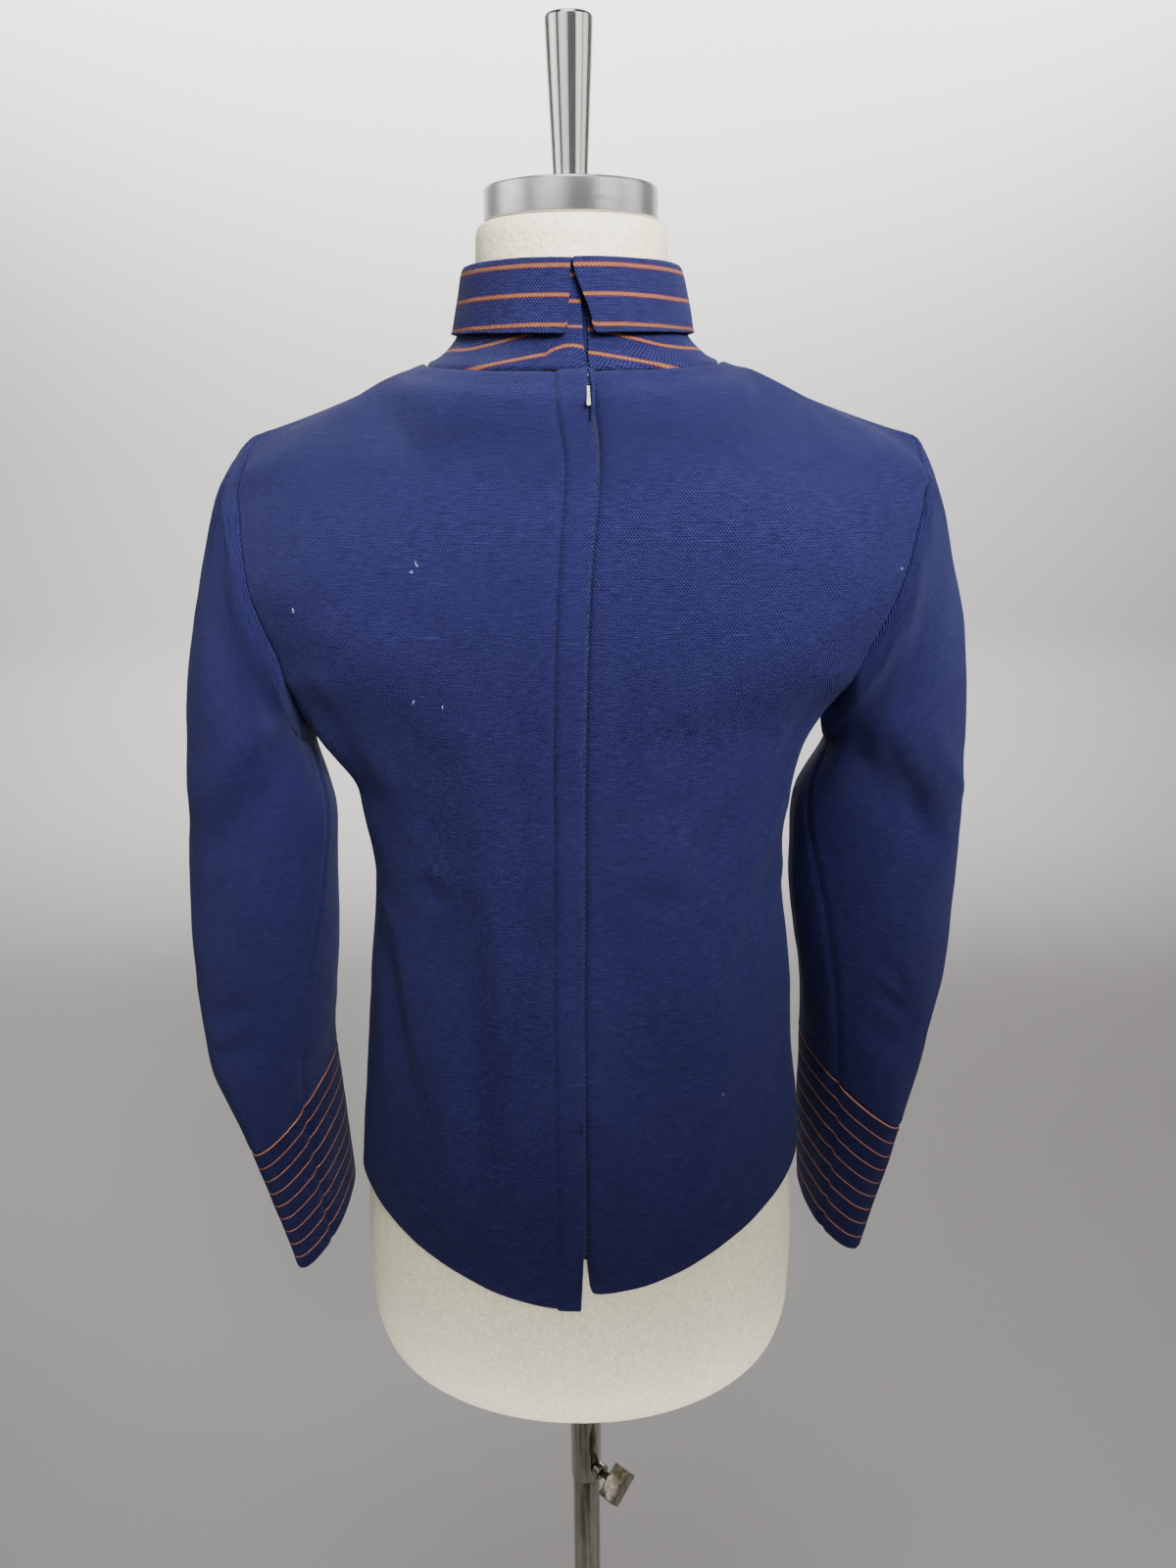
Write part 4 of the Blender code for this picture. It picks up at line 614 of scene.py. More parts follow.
def level_row(level, side, back, columns, centred=False):
    """One ring of a half panel, from the centre line to the side."""
    x_side = level.x_left if side > 0 else level.x_right
    y_side = level.y_edge_back if back else level.y_edge_front
    z_mid, y_mid = (level.z_back, level.y_back) if back else (level.z_front, level.y_front)
    if not back:
        x_side -= level.in_front
    body = x_side - level.flare
    wrap = math.radians(level.wrap)
    middle = side * opening_x(z_mid) + opening_half_gap(z_mid) if back and not centred else 0.0
    row = []
    for kind, value in columns:
        if kind == "away":
            reach = value / (body - middle)
        else:
            reach = math.sin(value * wrap) / math.sin(wrap)
        angle = math.asin(min(1.0, reach * math.sin(wrap)))
        depth = (math.cos(angle) - math.cos(wrap)) / (1 - math.cos(wrap))
        z = z_mid + (level.z_side - z_mid) * reach**1.6
        if side < 0 and not centred:
            lift = smooth_step((RIGHT_LIFT_END - z) / (RIGHT_LIFT_END - 0.82))
            z += RIGHT_LIFT * lift * (1.0 if back else smooth_step(reach))
        row.append((side * (middle + (body - middle) * reach + level.flare * reach**5),
                    y_side + (y_mid - y_side) * depth, z))
    return row


def top_rows(side, back, columns, shoulder=1.0, lower=0.0, inset=0.0, centred=False):
    """The yoke row and the top row: neckline, then shoulder seam."""
    neck_y, neck_z = (NECK_BACK_Y, NECK_BACK_Z) if back else (NECK_FRONT_Y, NECK_FRONT_Z)
    tip_x, tip_z = TIP[side]
    edge_x, edge_z = YOKE_EDGE[side]
    facing = 1 if back else -1
    neck_share = NECK_COLUMNS / (NECK_COLUMNS + SHOULDER_COLUMNS)
    middle = middle_low = 0.0
    if back and not centred:
        middle = side * opening_x(neck_z) + opening_half_gap(neck_z)
        middle_low = side * opening_x(neck_z - YOKE_DROP) + opening_half_gap(neck_z - YOKE_DROP)
    yoke, top = [], []
    for kind, value in columns:
        if kind == "away" or value <= neck_share + 1e-9:
            if kind == "away":
                sine = (middle + value) / NECK_HALF
            else:
                start = math.asin(middle / NECK_HALF)
                sine = math.sin(start + value / neck_share * (math.pi / 2 - start))
            turn = math.asin(min(1.0, sine))
            along = turn / (math.pi / 2)
            point = Vector((NECK_HALF * sine, neck_y * math.cos(turn),
                            neck_z + (NECK_SIDE_Z - neck_z) * (1 - math.cos(turn))))
            sweep = YOKE_SWEEP * along
            reach = YOKE_REACH + (YOKE_REACH_SHOULDER - YOKE_REACH) * along
            drop = YOKE_DROP + (YOKE_DROP_SHOULDER - YOKE_DROP) * along
            edge = 0.0
        else:
            along = (value - neck_share) / (1 - neck_share) * shoulder
            point = Vector((NECK_HALF + (tip_x - NECK_HALF) * along, 0.0, NECK_SIDE_Z
                            + (tip_z - NECK_SIDE_Z) * along - SHOULDER_SAG * math.sin(math.pi * along)))
            sweep = YOKE_SWEEP * (1 - along)
            reach, drop = YOKE_REACH_SHOULDER, YOKE_DROP_SHOULDER
            edge = along
        point.z -= lower
        low = point + Vector((reach * math.sin(sweep), facing * reach * math.cos(sweep), -drop))
        low = low.lerp(Vector((edge_x, facing * YOKE_EDGE_Y, edge_z - lower)), edge**3)
        low.x += (middle_low - middle) * max(0.0, 1 - (point.x - middle) / 0.05)
        low.z -= 0.004 * edge * (1 - edge)
        if inset:
            low.x = low.x * (1 - edge) + point.x * edge
            low.y -= facing * inset
            low.z -= inset * 0.8
            scale = 1 - inset / NECK_HALF if point.y else 1.0
            point = Vector((point.x * scale, point.y * scale, point.z))
        top.append((side * point.x, point.y, point.z))
        yoke.append((side * low.x, low.y, low.z))
    return yoke, top


def fold_shift(folds, points, normals, here, strength=1.0):
    """Move points along their normals by the soft troughs and ridges in `folds`."""
    shifted = points.copy()
    for _, a0, b0, a1, b1, width, depth in folds:
        start, end = np.array((a0, b0)), np.array((a1, b1))
        run = end - start
        along = ((here - start) @ run) / (run @ run)
        nearest = start + np.clip(along, 0, 1)[..., None] * run
        away = np.linalg.norm(here - nearest, axis=-1)
        taper = smooth_step(1.0 - np.clip(np.abs(along - 0.5) - 0.25, 0, 1) / 0.45)
        shifted += normals * (strength * depth * taper * bell(away, width))[..., None]
    return shifted


def grid_normals(grid, wrapped):
    """Unit normals of a grid of points, by central differences."""
    down = np.gradient(grid, axis=0)
    if wrapped:
        across = (np.roll(grid, -1, axis=1) - np.roll(grid, 1, axis=1)) / 2
    else:
        across = np.gradient(grid, axis=1)
    normals = np.cross(down, across)
    return normals / np.maximum(np.linalg.norm(normals, axis=-1, keepdims=True), 1e-12)


def eased(grid, normals, share, times):
    """The grid with its columns drawn level along the normals, by a share at each point."""
    for _ in range(times):
        mean = grid.copy()
        mean[:, 1:-1] = (grid[:, :-2] + grid[:, 2:]) / 2
        grid = grid + normals * ((mean - grid) * normals).sum(axis=-1, keepdims=True) * share[..., None] * 0.9
    return grid


def facing(grid, normals, centre, rows=slice(None)):
    """The normals, turned away from a centre as some of the rows tell."""
    return normals if ((grid - centre) * normals)[rows].sum() > 0 else -normals


def mean_steps(grid, axis):
    """Distances along a grid from its first line, averaged over its other direction."""
    steps = np.linalg.norm(np.diff(grid, axis=axis), axis=-1).mean(axis=1 - axis)
    return np.concatenate(([0.0], np.cumsum(steps)))


def across_rows(rows, knots, at, level=True):
    """Every row of a grid read at new places across it."""
    return through(knots, np.swapaxes(rows, 0, 1), at, level).swapaxes(0, 1)


def seam_turn(away, depth, reach=0.0014):
    """Shift of the cloth at a distance from its seam: a sunk line with a soft roll beside it."""
    return -depth * bell(away, reach) + depth * 0.30 * bell(away - 3.2 * reach, 2 * reach)


def unevenness(points, size, amount, seed):
    """Low waves of the cloth, the same on each run."""
    flat = points.reshape(-1, 3) / size
    offset = Vector((seed * 7.31, seed * 3.17, seed * 1.73))
    values = [noise.noise(Vector(point) + offset) for point in flat]
    return np.array(values).reshape(points.shape[:2])[..., None] * amount


Panel = namedtuple("Panel", "points cut")


def body_places():
    """Rows of the body's panels in metres up from the hem: coarse as in the solids, and fine."""
    plain = column_shares(False)
    rows = [level_row(level, 1, True, plain) for level in BLOUSE] + list(top_rows(1, True, plain))
    knots = mean_steps(np.array(rows)[:, [NECK_COLUMNS]], 0)
    coarse = np.concatenate((np.linspace(knots[0], knots[UNDERARM], BODY_ROWS, endpoint=False),
                             np.linspace(knots[UNDERARM], knots[-1], ARMHOLE_ROWS + 1)))
    return knots, coarse, with_edges(split(coarse, 7))


def half_panel(side, back):
    """Fine grid of a half panel and the distance of its columns from the centre line."""
    columns = column_shares(back)
    knots, _, fine = body_places()
    rows = np.array([level_row(level, side, back, columns) for level in BLOUSE]
                    + list(top_rows(side, back, columns)))
    grid = through(knots, rows, fine)
    reach = mean_steps(grid, 1)
    if back:
        at = split(reach, [8, 3] + [6] * (len(reach) - 3))
    else:
        at = split(reach, 6)
    at = with_edges(at, start=back)
    return across_rows(grid, reach, at), at


def creased(grid, folds, creases, fine, seed):
    """A body panel with its folds, creases and low waves, which end at its top seam, and its normals."""
    normals = facing(grid, grid_normals(grid, False), BODY_MIDDLE)
    here, aside, down = grid[..., [0, 2]], np.abs(grid[..., 0]), (fine[-1] - fine)[:, None]
    shifted = fold_shift(folds, grid, normals, here)
    shifted = fold_shift(creases, shifted, normals, here, bpy.context.scene.blouse.creases)
    corner = smooth_step(down / 0.010) * (1 - smooth_step((down - 0.055) / 0.03))
    corner = corner * smooth_step((aside - 0.05) / 0.02) * smooth_step((0.150 - aside) / 0.02)
    shifted = eased(shifted, normals, corner, 14)
    calm = smooth_step(down / 0.025)[..., None]
    for size, height, place in BODY_WAVES:
        shifted += normals * unevenness(grid, size, height, seed + place) * calm
    return shifted, normals


def free_corner(columns, top):
    """Share of the lap's top corner, which stands away under the collar."""
    loose = smooth_step(top / 0.003) * (1 - smooth_step((top - 0.010) / 0.045))
    return loose[:, None] * smooth_step(1 - columns / 0.011)[None]


def back_shift(shift, left, grid, columns, top):
    """A back's shift with the lap or the edge under it, and the stitched facing under the collar."""
    away, down, heights = columns[None], top[:, None], grid[..., 2]
    if left:
        fade = 0.30 + 0.70 * smooth_step((heights - 1.06) / 0.12)
        rise = 1 - smooth_step((away - LAP_WIDTH) / LAP_STEP)
        puff = LAP_PUFF * np.sin(np.pi * np.clip(away / LAP_WIDTH, 0, 1))
        shift = shift + (LAP_RISE + 0.0005) * rise + puff * fade
        shift = shift - soft_line(away, *LAP_GROOVE) * fade - soft_line(away, *LAP_EDGE)
    else:
        shift = shift - soft_line(away, *UNDER_LAP) - soft_line(away, *UNDER_SLOPE)
        shift = shift - soft_line(away, *UNDER_TOP) * smooth_step((heights - 1.30) / 0.06)
    inside = smooth_step((0.100 - np.abs(grid[..., 0])) / 0.02)
    shift = shift + (soft_line(down, *FACING_PUFF) - soft_line(down, *FACING_STITCH)) * inside
    if left:
        tack = soft_line(down, *LAP_TACK) * (1 - smooth_step((away - LAP_WIDTH) / 0.003))
        shift = shift + CORNER_OUT * free_corner(columns, top) - tack
    return shift


def armhole_ring(at, fine, back, front):
    """Points round an armhole: up the back's side edge, then down the front's."""
    return np.concatenate((read_at(at, fine, back), read_at(at, fine, front)[::-1][1:-1]))


@lru_cache(maxsize=1)
def blouse_shape():
    """Fine grids of every cut piece of the blouse, sewn edge to edge."""
    depth = bpy.context.scene.blouse.seam_depth
    _, coarse, fine = body_places()
    (left, left_at), (right, right_at) = half_panel(1, True), half_panel(-1, True)
    (front_left, at), (front_right, _) = half_panel(1, False), half_panel(-1, False)
    front = np.concatenate((front_left[:, ::-1], front_right[:, 1:]), axis=1)
    grids = {"back_left": left, "back_right": right, "front": front}
    panels = {}
    for name, folds, creases, columns, seed in (
            ("back_left", BACK_FOLDS, BACK_CREASES, left_at, 1),
            ("back_right", BACK_FOLDS, BACK_CREASES, right_at, 1),
            ("front", FRONT_FOLDS, FRONT_CREASES, np.concatenate((-at[::-1], at[1:])), 3)):
        panels[name] = (*creased(grids[name], folds, creases, fine, seed), columns)
    low = smooth_step((coarse[BODY_ROWS] + JOIN_WIDTH - fine) / JOIN_WIDTH)[:, None]
    for name, edge in (("back_left", 0), ("back_right", -1)):
        ends = ((name, -1), ("front", edge))
        moves = [panels[piece][0][:, end] - grids[piece][:, end] for piece, end in ends]
        for (piece, end), move in zip(ends, moves):
            points, _, columns = panels[piece]
            blend = smooth_step(1 - np.abs(columns - columns[end]) / JOIN_WIDTH)[None, :, None]
            points += ((sum(moves) / 2 - move) * low)[:, None] * blend

    made = {}
    top = fine[-1] - fine
    for name, (grid, normals, columns) in panels.items():
        shift = seam_turn(top[:, None], depth) + seam_turn((columns[-1] - np.abs(columns))[None], depth)
        shift = np.maximum(shift, -depth) - soft_line(fine[:, None], *TURNED_EDGE)
        shift = shift + soft_line(fine[:, None] - 0.002 * np.sin(columns[None] * 60), *HEM_LINE)
        if name != "front":
            shift = back_shift(shift, name == "back_left", grid, columns, top)
        placed = grid + normals * shift[..., None]
        if name == "back_left":
            over = soft_line(columns, *LAP_TURN) * smooth_step((grid[..., 2] - 0.860) / 0.08)
            placed[..., 0] -= over + CORNER_ASIDE * free_corner(columns, top)
        height = np.interp(grid[..., 2], grid[:, 0, 2], fine)
        made[name] = Panel(placed, crossed(columns[None] + 0.25, height))

    armhole = coarse[BODY_ROWS:]
    for side, word, edge in ((1, "left", 0), (-1, "right", -1)):
        back = panels["back_" + word]
        loop = armhole_ring(armhole, fine, back[0][:, -1], panels["front"][0][:, edge])
        sewn = [armhole_ring(split(armhole, 7), fine, back[k][:, -1], panels["front"][k][:, edge])
                for k in (0, 1)]
        made.update(sleeve_pieces(loop, sewn, side, word, depth))
    made["collar"] = collar_piece(panels)
    made["laps"] = (panels["back_left"], panels["back_right"], fine)
    return made


def sleeve_ring(ring, side, angles):
    turn = math.radians(ring.turn)
    t = np.radians(angles) - turn
    out = ring.long * np.cos(t) * math.cos(turn) - ring.short * np.sin(t) * math.sin(turn)
    back = ring.long * np.cos(t) * math.sin(turn) + ring.short * np.sin(t) * math.cos(turn)
    return np.stack((side * (ring.x + out), ring.y + back,
                     ring.z + ring.rise_out * out + ring.rise_back * back), axis=-1)


def sleeve_pieces(loop, sewn, side, word, depth):
    """Fine grids of a sleeve and its cuff, armhole to wrist.

    `sewn` holds the fine points of the armhole and the body's normals there.
    """
    count = len(loop)
    angles = np.linspace(180.0, -180.0, count, endpoint=False)
    top = 0.5 + 0.5 * np.cos(np.radians(angles))
    back = np.sin(np.radians(angles))
    head = loop + np.stack((side * HEAD_OUT[side] * (0.18 + 0.82 * top), 0.004 * back,
                            -HEAD_DROP * (1.25 - 0.25 * top - 0.55 * np.abs(back))), axis=-1)
    lower = [sleeve_ring(ring, side, angles) for ring in SLEEVE[side]]
    cap = (head + lower[0]) / 2
    cap[:, 0] += side * CAP_BULGE
    rings = np.array([loop, head, cap] + lower)
    knots = mean_steps(rings, 0)
    seam = knots[3 + CUFF_RING]
    coarse = np.concatenate((np.linspace(0, 1, SLEEVE_ROWS + 1) ** 1.4 * seam,
                             np.linspace(seam, knots[-1], CUFF_ROWS + 1)[1:]))
    fine = split(coarse, [6] * 3 + [8] * (SLEEVE_ROWS - 3) + [9] * CUFF_ROWS)
    steps = np.array(SEAM_STEPS)
    fine = np.concatenate((fine, steps, seam - steps, seam + steps, knots[-1] - steps))
    fine = np.unique(np.round(fine, 7))
    grid = through(knots, rings, fine)

    places = split(np.arange(count + 1, dtype=float), 7)
    around = places[:-1]
    padded = np.concatenate((grid[:, -3:], grid, grid[:, :3]), axis=1)
    grid = across_rows(padded, np.arange(-3, count + 3, dtype=float), around, level=False)
    degrees = 180.0 - around * 360.0 / count
    target, sewn_normals = (read_at(around, places, np.concatenate((values, values[:1])))
                            for values in sewn)
    grid = grid + (target - grid[0]) * smooth_step(1 - fine / 0.03)[:, None, None]

    centres = grid.mean(axis=1, keepdims=True)
    share = smooth_step(fine / 0.008) * (1 - smooth_step((fine - 0.05) / 0.03))
    share = share * (0.25 + 0.75 * np.abs(np.sin(np.radians(degrees))))[:, None]
    grid = eased(grid.swapaxes(0, 1), grid_normals(grid, True).swapaxes(0, 1), share, 30).swapaxes(0, 1)
    normals = facing(grid, grid_normals(grid, True), centres, slice(len(fine) // 3, len(fine) // 2))
    here = crossed(np.radians(degrees) * SLEEVE_RADIUS, grid[..., 2])

    def laid(folds):
        return [fold._replace(round0=math.radians(fold.round0) * SLEEVE_RADIUS,
                              round1=math.radians(fold.round1) * SLEEVE_RADIUS) for fold in folds]

    shifted = fold_shift(laid(SLEEVE_FOLDS), grid, normals, here)
    shifted = fold_shift(laid(SLEEVE_CREASES[side]), shifted, normals, here, bpy.context.scene.blouse.creases)
    calm = smooth_step((fine - 0.004) / 0.02)[:, None, None]
    for size, height, place in SLEEVE_WAVES:
        shifted += normals * unevenness(grid, size, height, place + side) * calm
    shifted = grid + (shifted - grid) * calm

    reach = np.linalg.norm(grid - centres, axis=-1)
    own = 180.0 + (SEAM_TURN[side] - 180.0) * smooth_step((fine - 0.03) / (seam - 0.10))
    swing = (degrees[None] - own[:, None] + 180.0) % 360.0 - 180.0
    beside = np.abs(np.radians(swing)) * reach
    shift = seam_turn(fine[:, None], depth) + seam_turn(np.abs(fine[:, None] - seam), depth * 0.8)
    shift = np.maximum(shift + seam_turn(beside, depth * 0.9) * smooth_step(fine[:, None] / 0.004), -depth)
    shift = shift - soft_line(fine[-1] - fine[:, None], *TURNED_EDGE)
    pucker = np.sin(degrees[None] * 0.55 + 3 * np.sin(degrees[None] * 0.11)) * smooth_step(
        (np.cos(np.radians(degrees[None] - 12)) - 0.2) / 0.6)
    shift = shift + soft_line(fine[:, None], *HEAD_PUCKER) * pucker
    share = smooth_step(1 - (fine - 0.001) / 0.006)[:, None, None]
    turned = normals * (1 - share) + sewn_normals * share
    turned /= np.maximum(np.linalg.norm(turned, axis=-1, keepdims=True), 1e-9)
    points = shifted + turned * shift[..., None]
    row = int(np.argmin(np.abs(fine - seam)))
    wrap = 2 * math.pi * reach.mean()
    across = (around / count * wrap)[None] + CUT_MARGIN
    spacing = (knots[-1] - seam) / (bpy.context.scene.blouse.cuff_stripes - 1)
    cut = crossed(across, fine[:row + 1, None] + CUT_MARGIN)
    cuff_cut = crossed(across, fine[row:, None] - seam + spacing * 3 - 0.0006)
    return {"sleeve_" + word: (Panel(points[:row + 1], cut), wrap),
            "cuff_" + word: (Panel(points[row:], cuff_cut), wrap, swing[row:] < 0, spacing)}


def collar_piece(panels):
    """Fine grid of the collar, from the neckline seam over the fold to the free edge."""
    line = []
    for name, step in (("back_left", 1), ("front", 1), ("back_right", -1)):
        points = panels[name][0][-1, ::step]
        line.append(points[(np.abs(points[:, 0]) <= NECK_HALF + 1e-5) & (np.abs(points[:, 1]) > 1e-6)])
    line = np.concatenate(line)
    depths = np.where(line[:, 1] >= 0, NECK_BACK_Y, -NECK_FRONT_Y)
    turns = np.unwrap(np.arctan2(line[:, 0] / NECK_HALF, line[:, 1] / depths))
    keep = np.concatenate(([True], np.abs(np.diff(turns)) > 0.008))
    line, turns = line[keep], turns[keep]
    from_left = mean_steps(line[None], 1)
    rows = [line]
    for neck in COLLAR:
        x = neck.x * np.sin(turns)
        for end, away, step in ((neck.end_left, from_left, 1),
                                (neck.end_right, from_left[-1] - from_left, -1)):
            near = away < COLLAR_END
            full = np.interp(COLLAR_END, away[::step], x[::step])
            x[near] = end + (full - end) * (away[near] / COLLAR_END)
        sine = np.clip(x / neck.x, -1, 1)
        cosine = np.sign(np.cos(turns)) * np.sqrt(1 - sine * sine)
        rear = cosine >= 0
        depth = np.where(rear, neck.y_back, -neck.y_front)
        height = np.where(rear, neck.z_back, neck.z_front)
        rows.append(np.stack((x, depth * cosine, height + (neck.z_side - height) * sine * sine), axis=-1))
    rows = np.array(rows)
    knots = mean_steps(rows, 0)
    fine = with_edges(split(knots, [3, 4, 5, 6, 4, 4, 4, 6, 5, 5]))
    grid = through(knots, rows, fine, level=True)
    reach = mean_steps(grid, 1)
    at = with_edges(np.linspace(0, reach[-1], 190))
    grid = across_rows(grid, reach, at)
    normals = facing(grid, grid_normals(grid, False), NECK_MIDDLE, slice(8))
    fold = knots[FOLD_ROW]
    stand = smooth_step((fold - 0.006 - fine) / 0.006)[:, None]
    turned = smooth_step((fine - fold - 0.004) / 0.006)[:, None]
    shift = seam_turn(fine[:, None], 0.0009) - soft_line(fine[-1] - fine[:, None], *TURNED_EDGE)
    lap = 1 - smooth_step((at - LAP_WIDTH + 0.001) / LAP_STEP)
    shift = shift + stand * lap[None] * LAP_RISE * 1.15
    shift = shift - stand * soft_line(at[None], *COLLAR_LAP)
    wave = unevenness(grid, *COLLAR_WAVE)[..., 0]
    shift = shift + wave * smooth_step((fine - 0.004) / 0.01)[:, None] * (0.5 + 0.5 * turned)
    sag = 0.0011 * np.sin(at[None] * 34.0 + 0.6) * turned * smooth_step((fine - fold) / 0.03)[:, None]
    points = grid + normals * (shift - np.abs(sag))[..., None]
    corner = smooth_step(1 - np.minimum(at, at[-1] - at) / 0.0030) ** 2
    points[..., 2] += (0.0013 * corner)[None] * smooth_step((fine - fine[-1] + 0.012) / 0.012)[:, None]
    points[..., 2] += (0.0006 * np.sin(at * 21.0) + 0.0005 * np.sin(at * 47.0 + 1.0))[None] * smooth_step(
        (fine - 0.02) / 0.02)[:, None]

    drop = FOLD_Z - grid[..., 2]
    angle = np.abs(np.arctan2(grid[..., 0], grid[..., 1]))
    sagging = STRIPE_SAG * smooth_step(angle / STRIPE_SAG_TURN) * smooth_step((drop - 0.008) / 0.022)
    hump = 0.0028 * lap[None] * np.sin(np.pi * np.clip((at + 0.004) / 0.019, 0, 1))[None] * (angle < 1.0)
    stand_level = drop - sagging + hump * smooth_step((drop - 0.030) / 0.012)
    places = np.array([-below for below in STAND_STRIPES] + [below + 2 * FOLD_HALF for below in BAND_STRIPES])
    steps = np.arange(len(places)) + 1.0
    beyond = np.clip(fine[:, None] - fold + FOLD_HALF, 0.0, 2 * FOLD_HALF)
    level = np.where(fine[:, None] > fold, drop * 0.98 + beyond, -stand_level + np.minimum(beyond, FOLD_HALF))
    phase = np.interp(level, places, steps)
    phase = np.where(level > places[-1], steps[-1] + (level - places[-1]) / STRIPE_SPACING, phase)
    phase = np.where(level < places[0], steps[0] + (level - places[0]) / STRIPE_SPACING, phase)
    return Panel(points, crossed(at[None] + CUT_MARGIN, phase * STRIPE_SPACING))


def linked(name, data):
    """New object of some data, in the scene."""
    thing = bpy.data.objects.new(name, data)
    bpy.context.scene.collection.objects.link(thing)
    return thing


def as_mesh(shape, name, smooth=True, sharp=0):
    """Mesh of a shape, which is freed; edges past a number of degrees stay sharp."""
    mesh = bpy.data.meshes.new(name)
    shape.to_mesh(mesh)
    shape.free()
    if smooth:
        mesh.shade_smooth()
    if sharp:
        mesh.set_sharp_from_angle(angle=math.radians(sharp))
    return mesh


def add_shape(target, shape):
    """Add a shape to another one, and free it."""
    mesh = as_mesh(shape, "part", smooth=False)
    target.from_mesh(mesh)
    bpy.data.meshes.remove(mesh)


def soften(shape, edges, offset, segments):
    bmesh.ops.bevel(shape, geom=edges, offset=offset, segments=segments, profile=0.5, affect="EDGES",
                    material=-1)


def add_block(shape, place, size):
    return bmesh.ops.create_cube(shape, size=1.0, matrix=place @ Matrix.Diagonal((*size, 1.0)))["verts"]


def laid_grid(points):
    """Grid with its vertices on a grid of points, and the row and column of each vertex."""
    rows, columns = points.shape[:2]
    shell = bmesh.new()
    bmesh.ops.create_grid(shell, x_segments=columns - 1, y_segments=rows - 1, size=0.5)
    seats = {}
    for vertex in shell.verts:
        i, j = round((vertex.co.y + 0.5) * (rows - 1)), round((vertex.co.x + 0.5) * (columns - 1))
        seats[vertex] = i, j
        vertex.co = points[i, j]
    return shell, seats


def cloth_object(name, panel, finish, slot_name, wrap=0.0, jog=None, step=0.0, thickness=CLOTH, flip=False):
    """Cloth of a fine grid of points: a grid laid on them, closed where it wraps, and thickened."""
    points, cut = panel
    if wrap:
        points = np.concatenate((points, points[:, :1]), axis=1)
        cut = np.concatenate((cut, cut[:, :1] + (wrap, 0.0)), axis=1)
    shell, seats = laid_grid(points)
    layer = shell.loops.layers.uv.new("cut")
    for face in shell.faces:
        corners = [seats[loop.vert] for loop in face.loops]
        low, first = (min(corner[k] for corner in corners) for k in (0, 1))
        moved = step if jog is not None and jog[low, first] else 0.0
        for loop, (i, j) in zip(face.loops, corners):
            loop[layer].uv = (cut[i, j, 0], cut[i, j, 1] + moved)
    if wrap:
        bmesh.ops.remove_doubles(shell, verts=shell.verts[:], dist=0.00001)
    if flip:
        bmesh.ops.reverse_faces(shell, faces=shell.faces[:])
    thing = linked(name, as_mesh(shell, name))
    thing.data.materials.append(finish)
    wall = thing.modifiers.new("thickness", "SOLIDIFY")
    wall.thickness, wall.offset, wall.use_rim = thickness, -1.0, True
    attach(thing, "form")
    return thing


def mesh_faces_out(points, centre):
    """Whether a grid's faces, as create_grid turns them, look away from a centre."""
    down = points[1:, :-1] - points[:-1, :-1]
    across = points[:-1, 1:] - points[:-1, :-1]
    normal = np.cross(across, down)
    return ((points[:-1, :-1] - centre) * normal).sum() > 0


def add_cloth(node, panel, finish, slot_name, flat, held, rests_on, centre, area=None, **more):
    thing = cloth_object(node + "_cloth", panel, finish, slot_name,
                         flip=not mesh_faces_out(panel.points, centre), **more)
    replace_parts(thing, node)


def knit_once(name, *more):
    """A knit by its name, made when it is first asked for."""
    return bpy.data.materials.get(name) or knit(name, bpy.context.scene.blouse, *more)


def plain_knit():
    return knit_once("Navy double knit", 0.0, 0.0, True)


class BlouseBacks(bpy.types.Operator):
    """Left back with the zip's lap folded along its edge, and right back"""
    bl_idname = "blouse.backs"
    bl_label = "Backs"

    def execute(self, context):
        shape = blouse_shape()
        for word in ("left", "right"):
            add_cloth("back_" + word, shape["back_" + word], plain_knit(), "knit", (0.255, 0.605), "draped",
                      ["dress_form"], BODY_MIDDLE, area=0.118)
        return {"FINISHED"}


class BlouseFront(bpy.types.Operator):
    """Front in one piece, shaped over the bust"""
    bl_idname = "blouse.front"
    bl_label = "Front"

    def execute(self, context):
        add_cloth("front", blouse_shape()["front"], plain_knit(), "knit", (0.500, 0.590), "draped",
                  ["dress_form"], BODY_MIDDLE, area=0.235)
        return {"FINISHED"}


class BlouseSleeves(bpy.types.Operator):
    """Both set-in sleeves"""
    bl_idname = "blouse.sleeves"
    bl_label = "Sleeves"

    def execute(self, context):
        for word in ("left", "right"):
            panel, wrap = blouse_shape()["sleeve_" + word]
            centre = panel.points.mean(axis=1, keepdims=True)[:-1]
            add_cloth("sleeve_" + word, panel, plain_knit(), "knit", (0.330, 0.475), "hung",
                      ["back_%s_cloth" % word, "front_cloth"], centre, area=0.140, wrap=wrap)
        return {"FINISHED"}


class BlouseCuffs(bpy.types.Operator):
    """Both striped cuff bands"""
    bl_idname = "blouse.cuffs"
    bl_label = "Cuffs"

    def execute(self, context):
        settings = context.scene.blouse
        for word in ("left", "right"):
            panel, wrap, jog, spacing = blouse_shape()["cuff_" + word]
            finish = knit_once("Striped cuff knit " + word, spacing, settings.cuff_stripe)
            centre = panel.points.mean(axis=1, keepdims=True)[:-1]
            add_cloth("cuff_" + word, panel, finish, "striped_knit", (0.225, 0.115), "hung",
                      ["sleeve_%s_cloth" % word], centre, wrap=wrap, jog=jog, step=-0.0007)
        return {"FINISHED"}


